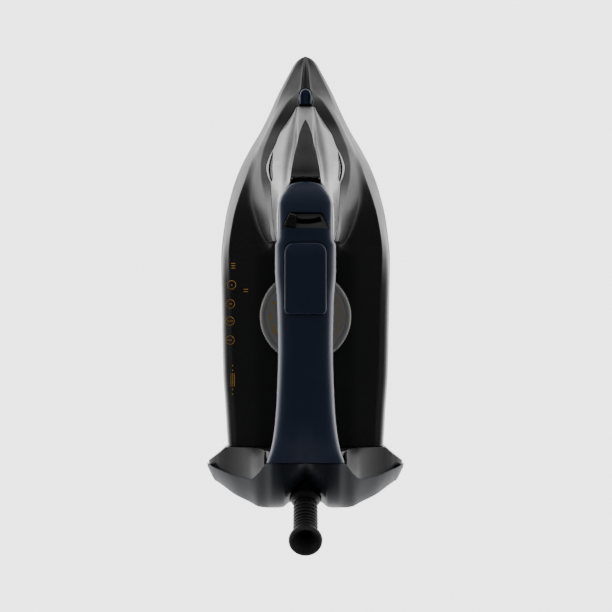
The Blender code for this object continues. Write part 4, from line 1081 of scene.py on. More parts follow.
    def build_sole(self) -> None:
        """The soleplate, with its rolled edge and its steam vents."""
        profile = (
            (-0.9, 0.0), (-0.2, 0.12), (0.35, 0.45), (0.7, 0.95), (0.8, 1.6), (0.8, 4.3), (0.6, 4.8),
            (0.1, 5.0),
        )
        rings = [[(x, y, z) for x, y in self.form.plan(grow)] for grow, z in profile]
        sole = loft("steam_soleplate", rings)
        tools = []
        for x, y in self.vent_places():
            narrow, wide = self.vent_radius, self.vent_radius + 0.55
            flare = [(narrow, self.sole_top + 1), (narrow, 0.5), (wide, -0.05), (wide, -1.0)]
            up = Vector((0, 0, 1))
            tools.append(loft("vent", [circle(Vector((x, y, z)), up, r, 20) for r, z in flare]))
        carve(sole, tools)
        hand_over(dress(sole, self.finishes.of(SOLE_CERAMIC)), Body.SHELL, Slot.SOLEPLATE, "soleplate")

    def vent_places(self) -> Loop:
        """The vents along both sides of the nose half, and three on the centre line."""
        places = [(0.0, 146.0), (0.0, 128.0), (0.0, 110.0)]
        for y in self.vent_rows:
            reach = 0.58 * along_table(self.form.outline, y)
            places += [(reach, y), (-reach, y)]
        return places


# ---------------------------------------------------------------- front: trim, door, windows, nozzle


@dataclass
class FrontUnit:
    """The silver trim and what sits in it, with the spray nozzle on the nose."""

    form: HousingForm
    finishes: Finishes
    inlet: Vector
    inlet_tilt: float
    front: float = 132.3
    door_rear: float = 81.3
    door_hinge: tuple[float, float, float] = (0.0, 83.4, 102.9)
    window_right: Loop = field(default_factory=lambda: [
        (2.4, 118.0), (4.1, 112.5), (5.0, 107.0), (6.9, 99.6), (8.3, 92.0), (9.6, 81.3),
    ])
    window_tip: float = 122.6
    crescent_outer: Loop = field(default_factory=lambda: [
        (20.3, 103.6), (22.0, 98.6), (23.2, 93.0), (22.6, 87.5), (21.2, 83.2),
    ])
    crescent_inner: Loop = field(default_factory=lambda: [(19.9, 86.0), (20.6, 92.0), (20.3, 99.0)])
    nozzle_plan: Loop = field(default_factory=lambda: [
        (-3.9, 133.4), (3.9, 133.4), (4.0, 139.5), (2.8, 143.0), (0.0, 144.3), (-2.8, 143.0), (-4.0, 139.5),
    ])

    def build(self, cap_plan: Loop) -> None:
        """Builds the trim, windows, door, inlet and nozzle.

        Args:
            cap_plan: Outline in plan of the handle's front, grown by the gap.
        """
        trim = self.form.band("front_bezel", 0.0, 1.8, self.front, self.form.column_rear + 0.2)
        carve(trim, [
            prism("cap_cutter", cap_plan, 60.0, 140.0),
            prism("window_cutter", self.window_plan(0.0), 30.0, 140.0),
            prism("right_crescent", self.crescent(1, 0.0), 40.0, 80.0),
            prism("left_crescent", self.crescent(-1, 0.0), 40.0, 80.0),
        ])
        carve(trim, [block("door_sweep", (-8.9, 80.45, 95.0), (8.9, 83.0, 116.0))])
        hand_over(dress(trim, self.finishes.of(SILVER_LACQUER)), Body.SHELL, Slot.SILVER, "front_trim")
        for side, label in ((1, "right"), (-1, "left")):
            pane = self.form.band(f"level_window_{label}", 0.5, 1.8, self.front, 60.0)
            carve(pane, [prism("keeper", self.crescent(side, 0.3), 40.0, 80.0)], Cut.KEEP_INSIDE)
            dress(pane, self.finishes.of(SMOKED_PC))
            hand_over(pane, Body.SHELL, Slot.SMOKED, f"tank_window_{label}")
        self.build_door()
        self.build_inlet()
        self.build_nozzle()

    def window_plan(self, shrink: float) -> Loop:
        """The pointed window in plan, smaller by a margin."""
        right = [(x - shrink, y) for x, y in self.window_right]
        right[-1] = (right[-1][0], self.door_rear + shrink)
        tip = self.window_tip - 1.6 * shrink
        left = [(-x, y) for x, y in reversed(right)]
        corners = [(0.0, tip + 0.6), (0.9, tip - 0.9), *right, *left, (-0.9, tip - 0.9)]
        sides = [3.0] * (len(right) - 1)
        return rounded(corners, [0.5, 1.0, *sides, 1.4, 1.4, *sides, 1.0])

    def crescent(self, side: int, shrink: float) -> Loop:
        """A side window in plan, between a lobe of the trim and its outer strand."""
        inner = [(x + 0.9 * shrink, y) for x, y in self.crescent_inner]
        outer = [(x - shrink, y) for x, y in self.crescent_outer[1:-1]]
        (front_x, front_y), (rear_x, rear_y) = self.crescent_outer[0], self.crescent_outer[-1]
        ends = [(front_x, front_y - 2.5 * shrink), (rear_x, rear_y + 2.0 * shrink)]
        corners = [(side * x, y) for x, y in [ends[0], *outer, ends[1], *inner]]
        return rounded(corners, [0.5, 3.0, 3.0, 3.0, 0.8, 3.0, 3.0, 3.0])

    def build_door(self) -> None:
        """The smoked water door with the rib that its pin goes through."""
        door = self.form.band("water_door", 0.1, 1.9, self.front, 81.9)
        carve(door, [prism("door_keeper", self.window_plan(0.35), 30.0, 140.0)], Cut.KEEP_INSIDE)
        reach = Vector((9.0, 0.0, 0.0))
        hinge = Vector(self.door_hinge)
        carve(door, [block("door_rib", (-8.0, 82.3, 101.9), (8.0, 84.6, 103.9))], Cut.JOIN)
        carve(door, [rod("door_bore", 0.8, hinge - reach, hinge + reach, 20)])
        hand_over(dress(door, self.finishes.of(SMOKED_PC)), Body.DOOR, Slot.SMOKED, "filler_door")

    def build_inlet(self) -> None:
        """The red water inlet: a square tube with a lip, seen through the door."""
        def frame_ring(half: float, z: float, radius: float) -> Ring:
            """A rounded square at a depth."""
            corners = [(-half, -half), (half, -half), (half, half), (-half, half)]
            return [(x, y, z) for x, y in rounded(corners, [radius] * 4, 5)]

        rings = [
            frame_ring(4.9, -11.0, 1.0), frame_ring(4.9, -4.4, 1.0), frame_ring(5.5, -4.0, 1.3),
            frame_ring(5.5, -2.7, 1.3), frame_ring(5.2, -2.4, 1.1), frame_ring(4.3, -2.4, 0.9),
            frame_ring(4.0, -2.9, 0.8), frame_ring(4.0, -11.0, 0.8),
        ]
        inlet = loft("water_inlet", rings, endless=True)
        moved(inlet, Matrix.Translation(self.inlet * MM) @ Matrix.Rotation(self.inlet_tilt, 4, "X"))
        hand_over(dress(inlet, self.finishes.of(RED_PP)), Body.SHELL, Slot.RED, "inlet_sleeve")

    def build_nozzle(self) -> None:
        """The nozzle block, with its bore and two cooling slits down its face."""
        def level(shrink: float, z: float, fall: float) -> Ring:
            """The block's plan at a height that falls towards the nose."""
            back = 133.4
            shift = (1 - shrink) * (back + 3.5)
            points = [(x * shrink, shift + shrink * y) for x, y in self.nozzle_plan]
            soft = rounded(points, [0.5, 0.5, 2.0, 1.5, 1.5, 1.5, 2.0])
            return [(x, y, z - fall * (y - 133.4)) for x, y in soft]

        nozzle = loft("nozzle_block", [
            level(1.0, 35.0, 0.0), level(1.0, 40.2, 0.22), level(0.985, 40.9, 0.225), level(0.94, 41.6, 0.23),
            level(0.86, 42.2, 0.24), level(0.74, 42.6, 0.25),
        ])
        axis = Vector((0.0, math.cos(0.45), math.sin(0.45)))
        mouth = Vector((0.0, 143.4, 38.0))
        tools = [
            rod("nozzle_bore", 1.5, mouth - axis * 6.0, mouth + axis * 3.0),
            rod("tube_bore", 1.3, (0, 128, 36.6), (0, 139.5, 36.6)),
        ]
        for x in (-2.0, 2.0):
            tools.append(block(f"slit_{x}", (x - 0.25, 134.6, 39.3), (x + 0.25, 140.6, 44.0)))
        carve(nozzle, tools)
        hand_over(dress(nozzle, self.finishes.of(NAVY_ABS)), Body.SHELL, Slot.NAVY, "nozzle_housing")


# ---------------------------------------------------------------- handle and its controls


@dataclass
class HandleUnit:
    """The handle's cover and grip, the steam lever with its scale, and the spray button."""

    finishes: Finishes
    wall: float = 2.2
    half: Table = (
        (81.4, 2.0), (80.8, 6.0), (79.6, 9.3), (76.0, 12.4), (72.0, 14.9), (67.6, 16.0), (50.0, 16.3),
        (46.6, 16.6), (43.0, 18.2), (28.0, 18.3), (10.0, 17.1), (-19.0, 16.5), (-50.0, 17.4),
        (-68.0, 18.9), (-80.0, 21.0), (-88.0, 23.7),
    )
    top: Table = (
        (81.4, 107.4), (79.6, 108.8), (76.0, 112.0), (72.0, 115.0), (67.6, 117.6), (60.0, 121.0),
        (50.0, 124.5), (44.0, 126.0), (30.0, 128.0), (10.0, 128.5), (-20.0, 127.0), (-50.0, 122.5),
        (-70.0, 117.0), (-88.0, 108.5),
    )
    parting: Table = (
        (81.4, 106.2), (79.6, 106.4), (76.0, 106.9), (72.0, 107.6), (67.6, 108.8), (59.8, 110.2),
        (46.0, 111.4), (43.0, 109.5), (10.0, 108.0), (-20.0, 107.5), (-50.0, 105.0), (-70.0, 101.0),
        (-88.0, 96.0),
    )
    under: Table = (
        (45.7, 80.0), (43.0, 85.0), (38.0, 90.5), (30.0, 94.0), (10.0, 96.0), (-20.0, 95.5),
        (-50.0, 92.5), (-65.0, 88.0), (-75.0, 80.0), (-82.0, 68.0),
    )
    valley: Table = (
        (81.4, 0.0), (-58.0, 0.0), (-72.0, 1.4), (-88.0, 4.0),
    )
    slider: tuple[float, float, float] = (0.0, 58.0, 121.7)
    slider_tilt: float = math.radians(-21.0)
    lever_reach: float = 27.0
    lever_rest: float = -7.9
    button_pivot: Flat = (20.0, 121.0)
    button_reach: float = 16.0

    def build(self) -> None:
        """Builds the handle's pieces."""
        self.build_cover()
        self.build_grip()
        self.build_scale()
        self.build_lever()
        self.build_button()

    def front_plan(self, grow: float) -> Loop:
        """Outline in plan of the cover's front, which the trim ends at, grown by a margin."""
        stations = (*spread(81.4, 79.6, 0.3), *spread(79.0, 40.0, 1.5))
        right = [(along_table(self.half, y), y) for y in stations]
        outer = grown([(0.0, 81.4), *right], -grow)
        outer[0] = (0.0, outer[1][1])
        return outer + [(-x, y) for x, y in reversed(outer[1:])]

    def cover_section(self, y: float) -> Loop:
        """Right half of the cover's section, from its lower edge up to the centre line."""
        half, low, top = (along_table(table, y) for table in (self.half, self.parting, self.top))
        rise = top - low
        return [
            (half, low), (half, low + 0.45 * rise), (0.93 * half, low + 0.74 * rise),
            (0.74 * half, top - 0.07 * rise), (0.34 * half, top), (0.0, top - along_table(self.valley, y)),
        ]

    def grip_section(self, y: float) -> Loop:
        """Right half of the grip's section, from the parting line down to the centre line."""
        at = min(y, 43.0)
        half, high = along_table(self.half, at), along_table(self.parting, at) - GAP
        low = along_table(self.under, y)
        drop = high - low
        return [(half, high), (half - 0.4, high - 0.35 * drop), (half - 3.0, high - 0.72 * drop),
                (half - 8.5, low + 0.07 * drop), (0.0, low)]

    def build_cover(self) -> None:
        """The cover: a shell with the lever's window and the button's opening."""
        half_softness = (0.5, 9.0, 7.0, 5.0, 7.0, 6.0)
        softness = [*half_softness, *reversed(half_softness[:-1])]
        stations = [81.4, 81.2, 80.8, 80.3, *spread(79.6, 66.0, 0.8), *spread(65.0, -88.0, 2.2)]
        sections = [rounded(mirrored(self.cover_section(y)), softness, 5) for y in stations]
        rings = [[(x, y, z) for x, z in section] for section, y in zip(sections, stations)]
        cover = loft("handle_upper_shell", rings)
        inner = []
        for y in (
            76.0, 72.0, 67.6, 60.0, 53.0, 46.6, 43.0, 28.0, 10.0, -19.0, -50.0, -60.0, -70.0, -80.0, -89.0,
        ):
            half = grown(self.cover_section(y), -self.wall)
            half[0] = (half[0][0], along_table(self.parting, y) - 1.0)
            half[-1] = (0.0, half[-1][1])
            inner.append([(x, y, z) for x, z in mirrored(half)])
        window = self.tilted(prism("lever_window", self.slot_plan(0.0), -6.0, 6.0), self.slider)
        opening = prism("button_opening", self.button_plan(0.5), 112.0, 140.0)
        carve(cover, [loft("cover_hollow", inner), window, opening])
        hand_over(dress(cover, self.finishes.of(NAVY_ABS)), Body.SHELL, Slot.NAVY, "handle_cover")

    def build_grip(self) -> None:
        """The grip: an open shell under the cover."""
        half_softness = (0.5, 7.0, 6.0, 6.0, 9.0)
        outer_softness = [*half_softness, *reversed(half_softness[:-1])]
        rings = []
        for y in (45.7, *spread(45.0, 30.0, 1.2), *spread(27.0, -65.0, 3.0), *spread(-66.0, -82.0, 1.2)):
            outer = mirrored(self.grip_section(y))
            inner = grown(outer, self.wall)
            inner[0] = (inner[0][0], outer[0][1])
            inner[-1] = (inner[-1][0], outer[-1][1])
            loop = rounded(outer + inner[::-1], outer_softness + outer_softness[::-1], 5)
            rings.append([(x, y, z) for x, z in loop])
        grip = loft("handle_lower_shell", rings)
        hand_over(dress(grip, self.finishes.of(NAVY_ABS)), Body.SHELL, Slot.NAVY, "handle_grip")

    def tilted(self, piece: Object, point: tuple) -> Object:
        """Lays a piece in the lever's sloping plane at a point."""
        lean = Matrix.Rotation(self.slider_tilt, 4, "X")
        return moved(piece, Matrix.Translation(Vector(point) * MM) @ lean)

    def slot_plan(self, grow: float) -> Loop:
        """The lever's window in its own plane, wider towards the rear."""
        corners = [(-10.1 - grow, 5.2 + grow), (10.1 + grow, 5.2 + grow), (14.6 + grow, -5.2 - grow),
                   (-14.6 - grow, -5.2 - grow)]
        return rounded(corners, [1.6, 1.6, 1.2, 1.2])

    def lever_axis(self) -> Vector:
        """The point that the steam lever swings about."""
        ahead = Matrix.Rotation(self.slider_tilt, 3, "X") @ Vector((0.0, self.lever_reach, 0.0))
        return Vector(self.slider) + ahead

    def build_scale(self) -> None:
        """The plate under the lever, with its curved slot."""
        plate = prism("steam_scale", self.slot_plan(-0.35), -3.9, -2.4)
        reach, width, turns = self.lever_reach, 3.4, spread(-20.0, 20.0, 2.5)
        rims = []
        for radius, angles in ((reach - width / 2, turns), (reach + width / 2, turns[::-1])):
            swung = [math.radians(a) for a in angles]
            rims += [(radius * math.sin(a), reach - radius * math.cos(a)) for a in swung]
        self.tilted(plate, self.slider)
        carve(plate, [self.tilted(prism("scale_slot", rims, -6.0, 2.0), self.slider)])
        hand_over(dress(plate, self.finishes.of(GREY_ABS)), Body.SHELL, Slot.GREY, "lever_scale")

    def build_lever(self) -> None:
        """The steam lever: a waisted tab with finger ridges, on a stem through the slot."""
        side = [(-2.8, -24.6), (2.8, -24.6), (3.6, -32.4), (-3.6, -32.4)]
        tab = loft("lever_tab", [
            [(x, y, -2.1) for x, y in side],
            [(0.9 * x, y, 0.9) for x, y in side],
            [(0.72 * x, -27.2 + 0.55 * (y + 27.2), 2.4) for x, y in side],
        ])
        soften(tab, 0.35)
        rears = [-28.9 + 0.95 * i for i in range(3)]
        grooves = [block("groove", (-1.5, rear, 2.1), (1.5, rear + 0.35, 3.0)) for rear in rears]
        carve(tab, grooves)
        reach = self.lever_reach
        carve(tab, [block("lever_stem", (-1.3, -reach - 1.3, -5.6), (1.3, -reach + 1.3, 0.0)),
                    block("lever_foot", (-2.6, -reach - 3.2, -6.0), (2.6, -reach + 3.2, -4.3))], Cut.JOIN)
        moved(tab, Matrix.Rotation(math.asin(self.lever_rest / reach), 4, "Z"))
        self.tilted(tab, self.lever_axis())
        hand_over(dress(tab, self.finishes.of(BLACK_ABS)), Body.LEVER, Slot.BLACK, "steam_lever")

    def button_plan(self, grow: float) -> Loop:
        """The button in plan, with large round corners at its front, grown by a margin."""
        corners = [(-12.4, 1.6), (-12.4, 40.6), (-9.0, 44.3), (9.0, 44.3), (12.4, 40.6), (12.4, 1.6)]
        return grown(rounded(corners, [3.4, 3.0, 3.0, 3.0, 3.0, 3.4], 5), -grow, closed=True)

    def build_button(self) -> None:
        """The rocker button: a crowned pad with a sloping front, its posts and the lug on its pin."""
        def level(shrink: float, z: float) -> Ring:
            """The pad's outline at a height, its front falling away towards the nose."""
            middle = 23.0
            ring = []
            for x, y in self.button_plan(0.0):
                wide, long = x * (1 - shrink / 12.4), middle + (y - middle) * (1 - shrink / 21.4)
                slope = max(0.0, long - 36.4) * 0.46
                crown = 0.35 * (long - 4.0) * (36.0 - long) / 256.0
                ring.append((wide, long, min(z + max(crown, -0.35) * (z > 130), z - slope)))
            return ring

        rings = [level(shrink, z) for shrink, z in (
            (0.0, 121.5), (0.0, 129.6), (0.12, 130.1), (0.38, 130.45), (0.85, 130.7), (2.2, 130.85),
            (5.5, 130.95), (9.0, 131.0),
        )]
        button = loft("spray_button", rings)
        carve(button, [block("button_hollow", (-10.4, 3.6, 118.0), (10.4, 40.6, 125.6))])
        y, z = self.button_pivot
        feet = (y - self.button_reach, y + self.button_reach)
        posts = [rod("post", 2.2, (0, foot, 120.6), (0, foot, 127.0)) for foot in feet]
        carve(button, [*posts, block("button_lug", (-3.5, 17.0, 118.4), (3.5, 23.0, 127.0))], Cut.JOIN)
        carve(button, [rod("lug_bore", 1.5, (-9, y, z), (9, y, z))])
        hand_over(dress(button, self.finishes.of(NAVY_ABS)), Body.BUTTON, Slot.NAVY, "rocker_button")


# ---------------------------------------------------------------- dial


@dataclass
class DialUnit:
    """The temperature dial under the handle, with its printed steps."""

    finishes: Finishes
    radius: float = 28.9
    base: float = 46.8
    top: float = 52.6
    ridges: int = 96
    steps: int = 3

    def build(self) -> None:
        """Builds the dial, the ridges on its rim and its print."""
        up = Vector((0, 0, 1))
        profile = (
            (self.radius - 1.2, self.base), (self.radius - 0.5, self.base + 0.5),
            (self.radius - 0.3, self.base + 1.2), (self.radius - 0.3, self.top - 1.6),
            (self.radius - 0.6, self.top - 0.7), (self.radius - 1.4, self.top),
            (self.radius - 2.2, self.top + 0.15), (self.radius - 3.0, self.top + 0.1),
            (self.radius - 3.4, self.top - 0.25), (self.radius - 3.9, self.top - 0.25),
            (self.radius - 4.3, self.top + 0.12), (self.radius - 5.0, self.top + 0.22), (9.0, self.top + 0.3),
        )
        dial = loft("dial_disc", [circle(Vector((0, 0, z)), up, r, 128) for r, z in profile])
        carve(dial, [rod("dial_socket", 2.6, (0, 0, 40), (0, 0, self.base + 3.4))])
        grip = self.around(self.ridges, self.radius - 0.35, self.top - 2.9, 0.0, FULL_TURN / self.ridges)
        ridges = grow_tree(point_host("dial_ridges", grip), stamp_tree(Stamp.BAR), {
            "Width": 0.8 * MM, "Length": 0.7 * MM, "Thickness": 3.0 * MM,
            "Finish": self.finishes.of(DIAL_NYLON),
        })
        dress(dial, self.finishes.of(DIAL_NYLON))
        whole = merged([dial, ridges], "temperature_knob")
        hand_over(whole, Body.DIAL, Slot.GREY, "temperature_dial")
        self.build_print()

    def around(self, count: int, reach: float, z: float, start: float,
               step: float) -> list[tuple[Vector, Vector]]:
        """Places round the dial's axis, each facing outwards."""
        turns = [start + i * step for i in range(count)]
        return [(Vector((reach * math.sin(-a), reach * math.cos(a), z)), Vector((0, 0, a))) for a in turns]

    def build_print(self) -> None:
        """Steps of one, two and three dots with bars between, in gold on the dial's face."""
        gold = self.finishes.of(GOLD_INK)
        face = self.top + 0.26
        dots: list[tuple[Vector, Vector]] = []
        for step in range(self.steps):
            middle = math.radians(66.0 + 24.0 * step)
            for i in range(step + 1):
                dots += self.around(1, 21.4, face, middle + math.radians(5.4) * (i - step / 2), 0.0)
        bars = self.around(9, 21.4, face, math.radians(-62.0), math.radians(-7.0))
        arrows = self.around(2, 21.4, face, math.radians(78.0), math.radians(24.0))
        pieces = [
            grow_tree(point_host("step_dots", dots), stamp_tree(Stamp.DOT), {
                "Width": 1.7 * MM, "Thickness": 0.12 * MM, "Finish": gold,
            }),
            grow_tree(point_host("step_bars", bars), stamp_tree(Stamp.BAR), {
                "Width": 0.5 * MM, "Length": 2.6 * MM, "Thickness": 0.12 * MM, "Finish": gold,
            }),
            grow_tree(point_host("step_marks", arrows), stamp_tree(Stamp.BAR), {
                "Width": 0.4 * MM, "Length": 3.4 * MM, "Thickness": 0.12 * MM, "Finish": gold,
            }),
        ]
        hand_over(merged(pieces, "dial_print"), Body.DIAL, Slot.GREY)


# ---------------------------------------------------------------- heel and cord guard


@dataclass
class HeelUnit:
    """The heel that the iron stands on, its cape, and the cord guard that swivels in it."""

    finishes: Finishes
    stand_foot: Flat = (-101.6, 14.3)
    stand_tilt: float = math.radians(17.5)
    cape: Table = (
        (0.0, -88.3, 104.5, -114.0, 66.0, -1.5), (5.0, -88.3, 107.7, -114.2, 66.5, 1.5),
        (10.0, -88.3, 107.8, -115.2, 67.2, 5.0), (14.0, -88.3, 107.0, -118.0, 68.0, 7.0),
        (20.0, -88.3, 103.0, -118.6, 68.0, 6.5), (24.0, -89.2, 97.0, -118.6, 68.0, 5.0),
        (29.0, -95.5, 88.0, -118.2, 66.5, 3.0), (34.0, -99.6, 78.5, -116.2, 60.0, 2.0),
        (44.0, -98.8, 62.0, -112.3, 48.0, 1.2), (54.0, -96.0, 48.0, -107.0, 30.0, 0.8),
        (57.5, -95.0, 43.0, -105.0, 25.0, 0.5), (62.2, -92.6, 37.0, -95.6, 30.0, 0.0),
    )
    front: Table = (
        (0.0, -82.3, 97.0, 14.3), (18.0, -82.3, 95.0, 14.3), (20.0, -82.3, 92.0, 14.3),
        (24.0, -82.3, 84.0, 14.3), (29.0, -82.3, 55.0, 14.3), (34.0, -82.3, 47.0, 14.3),
        (44.0, -82.3, 43.5, 14.3), (49.7, -82.3, 41.0, 14.3), (54.0, -85.6, 39.0, 15.5),
        (57.5, -88.4, 36.4, 17.0), (62.2, -91.9, 31.5, 24.0),
    )
    exit: tuple[float, float, float] = (0.0, -107.3, 82.0)
    exit_angle: float = math.radians(33.0)
    end_angle: float = math.radians(68.0)
    guard_length: float = 41.0
    screw_at: Flat = (24.0, 32.0)
    screw_seat: float = -103.0
    ribs: int = 9

    def build(self) -> None:
        """Builds the heel's pieces."""
        self.build_base_and_cape()
        self.build_collar()
        self.build_guard()

    def stand_y(self, z: float) -> float:
        """Where the stand face lies at a height."""
        return self.stand_foot[0] - (z - self.stand_foot[1]) * math.tan(self.stand_tilt)

    def cape_row(self, x: float, spans: int = 5) -> Loop:
        """The cape's outer profile at x, from its front edge to its rear rim, as (y, z)."""
        y1, z1, y2, z2, bulge = (along_table(self.cape, x, column) for column in range(1, 6))
        out = Vector((z2 - z1, y1 - y2)).normalized()
        row = []
        for i in range(spans + 1):
            t = i / spans
            lift = 4 * bulge * t * (1 - t)
            y, z = y1 + t * (y2 - y1) + lift * out.x, z1 + t * (z2 - z1) + lift * out.y
            row.append((max(y, self.stand_y(z) + 0.1), z))
        return row

    def behind(self, row: Loop, y: float) -> Loop:
        """A profile that starts where it passes y, in as many points as before."""
        start = 0.0
        for i, (a, b) in enumerate(zip(row, row[1:])):
            if a[0] > y >= b[0]:
                start = i + (a[0] - y) / (a[0] - b[0])
        last = len(row) - 1
        kept: Loop = []
        for i in range(len(row)):
            t = start + (last - start) * i / last
            k = min(int(t), last - 1)
            a, b = row[k], row[k + 1]
            kept.append((a[0] + (t - k) * (b[0] - a[0]), a[1] + (t - k) * (b[1] - a[1])))
        return kept

    def build_base_and_cape(self) -> None:
        """The heel base with its stand face, and the cape over it."""
        half = [*spread(0.0, 20.0, 1.0), *spread(21.0, 50.0, 1.45), *spread(50.6, 60.0, 0.8)]
        half += [60.8, 61.5, 62.2]
        across = [-x for x in reversed(half[1:])] + half
        capes, bases, hollows = [], [], []
        for x in across:
            a = abs(x)
            thick = 2.2 if a < 50 else 2.2 - 0.8 * min(1.0, (a - 50.0) / 5.0)
            outer = self.cape_row(a, 12)
            inner = self.behind(grown(outer, -thick), outer[0][0])
            softness = [0.9, *[0.0] * 11, 0.8, 0.3, *[0.0] * 11, 0.3]
            capes.append([(x, y, z) for y, z in rounded(outer + inner[::-1], softness, 4)])
            coarse = self.cape_row(a)
            coarse_inner = self.behind(grown(coarse, -thick), coarse[0][0])
            ring, hollow = self.base_rings(a, coarse, coarse_inner, thick)
            if a < 61.6:
                edges = [0.5, 0.3, *[0.0] * (len(ring) - 4), 0.5, 0.8]
                bases.append([(x, y, z) for y, z in rounded(ring, edges, 3)])
            if a < 48:
                hollows.append([(x, y, z) for y, z in hollow])
        outward = Vector((0, -math.cos(self.exit_angle), math.sin(self.exit_angle)))
        centre = Vector(self.exit)
        cape = loft("heel_cover", capes)
        carve(cape, [rod("cord_outlet", 8.4, centre - outward * 12, centre + outward * 14, 64)])
        hand_over(dress(cape, self.finishes.of(SLATE_ABS)), Body.SHELL, Slot.GREY, "heel_cape")
        base = loft("heel_stand", bases)
        doorway = block("doorway", (-43.0, -88.0, 16.7), (43.0, -80.0, 40.0))
        carve(base, [loft("heel_hollow", hollows), doorway])
        bosses, holes = [], [rod("cord_passage", 8.4, centre - outward * 12, centre + outward * 14)]
        z = self.screw_at[1]
        for x in (-self.screw_at[0], self.screw_at[0]):
            bosses.append(rod("boss", 5.2, (x, -97, z), (x, -105.2, z)))
            holes.append(rod("screw_hole", 1.9, (x, -95, z), (x, -115, z)))
            holes.append(rod("screw_recess", 3.5, (x, self.screw_seat + GAP, z), (x, -115, z)))
        carve(base, bosses, Cut.JOIN)
        carve(base, holes)
        hand_over(dress(base, self.finishes.of(BLACK_ABS)), Body.SHELL, Slot.BLACK, "heel_base")

    def base_rings(self, a: float, outer: Loop, inner: Loop, thick: float) -> tuple[Loop, Loop]:
        """The heel base's profile at a distance from the centre, and the hollow's.

        Args:
            a: Distance from the centre plane.
            outer: The cape's outer profile there.
            inner: The cape's inner profile.
            thick: The cape's thickness.

        Returns:
            The base's loop and the hollow's loop, as (y, z).
        """
        front_y, front_top, underside = (along_table(self.front, a, column) for column in (1, 2, 3))
        shelf = min(outer[0][0] - 0.9, front_y - 0.3)
        top = self.behind(grown(outer, -thick - 1.1), shelf)
        top[-1] = (max(top[-1][0], self.stand_y(top[-1][1])), top[-1][1])
        ledge = min(top[-1][1], inner[-1][1]) - 1.2
        rim = self.stand_y(ledge)
        if not 14 <= a <= 54:
            rim = max(top[-1][0], rim)
        step = (shelf, min(front_top + 0.2, top[0][1] - 0.2)) if a < 25 else (shelf, top[0][1] - 0.3)
        ring = [(front_y, underside), (front_y, min(front_top, step[1] - 0.2)), step, *top,
                (rim, ledge), (max(self.stand_y(underside), rim), underside)]
        low_front = ring[1][1] - 2.4
        hollow = [(front_y - 2.4, underside + 2.4), (front_y - 2.4, low_front), (step[0] - 2.0, low_front)]
        under_top = [(y + 0.4, z - 2.2) for y, z in top]
        hollow += [(min(y, step[0] - 2.2), z) for y, z in under_top[:-1]]
        hollow += [(under_top[-1][0] + 2.0, under_top[-1][1])]
        hollow += [(self.stand_y(underside) + 2.6, underside + 2.4)]
        return ring, hollow

    def build_collar(self) -> None:
        """The swivel collar: a turned ring with a rolled lip."""
        outward = Vector((0, -math.cos(self.exit_angle), math.sin(self.exit_angle)))
        profile = (
            (8.0, -6.0), (8.0, 3.4), (9.4, 3.45), (9.8, 3.8), (9.8, 4.8), (9.6, 5.4), (9.2, 6.2), (8.4, 7.4),
            (8.0, 7.6), (6.9, 7.6), (6.6, 7.2), (6.6, -6.0),
        )
        rings = [circle(Vector(self.exit) + outward * s, outward, r, 64) for r, s in profile]
        collar = loft("cord_collar", rings, endless=True)
        hand_over(dress(collar, self.finishes.of(BLACK_ABS)), Body.SHELL, Slot.BLACK, "swivel_collar")

    def guard_path(self) -> list[tuple[Vector, Vector, float]]:
        """The cord guard's centre line: each point, its direction, and how far along it is."""
        steps = 68
        point = Vector(self.exit) - Vector((0, -math.cos(self.exit_angle), math.sin(self.exit_angle))) * 2.0
        path = []
        for i in range(steps + 1):
            t = i / steps
            angle = self.exit_angle + (self.end_angle - self.exit_angle) * max(0.0, (t - 0.26) / 0.74)
            direction = Vector((0, -math.cos(angle), math.sin(angle)))
            if i:
                point = point + direction * (self.guard_length + 2.0) / steps
            path.append((point.copy(), direction, t))
        return path

    def build_guard(self) -> None:
        """The ribbed cord guard, which flares to an open mouth."""
        path = self.guard_path()
        flare = (
            (0.0, 6.1), (0.26, 6.1), (0.28, 6.5), (0.80, 6.3), (0.86, 7.0), (0.90, 8.6), (0.93, 9.9),
            (0.96, 10.3), (0.985, 10.2), (1.0, 9.7),
        )
        bore = ((0.0, 3.4), (0.8, 3.4), (0.9, 5.4), (0.97, 7.6), (1.0, 8.6))
        outer = [circle(p, d, along_table(flare, t), 48) for p, d, t in path]
        inner = [circle(p, d, along_table(bore, t), 48) for p, d, t in path]
        guard = loft("guard_core", outer + inner[::-1], endless=True)
        dress(guard, self.finishes.of(CORD_RUBBER))
        ribbed = [p * MM for p, _, t in path if 0.30 <= t <= 0.86]
        mesh = bpy.data.meshes.new("rib_path")
        mesh.from_pydata([tuple(p) for p in ribbed], [(i, i + 1) for i in range(len(ribbed) - 1)], [])
        host = bpy.data.objects.new("rib_path", mesh)
        bpy.context.scene.collection.objects.link(host)
        ribs = grow_tree(host, rib_tree(), {
            "Ribs": self.ribs, "Radius": 6.75 * MM, "Bead": 0.85 * MM,
            "Finish": self.finishes.of(CORD_RUBBER),
        })
        dress(ribs, self.finishes.of(CORD_RUBBER), even=False)
        whole = merged([guard, ribs], "cord_guard_sleeve")
        hand_over(whole, Body.CORD_GUARD, Slot.RUBBER, "strain_relief")


# ---------------------------------------------------------------- prints on the deck


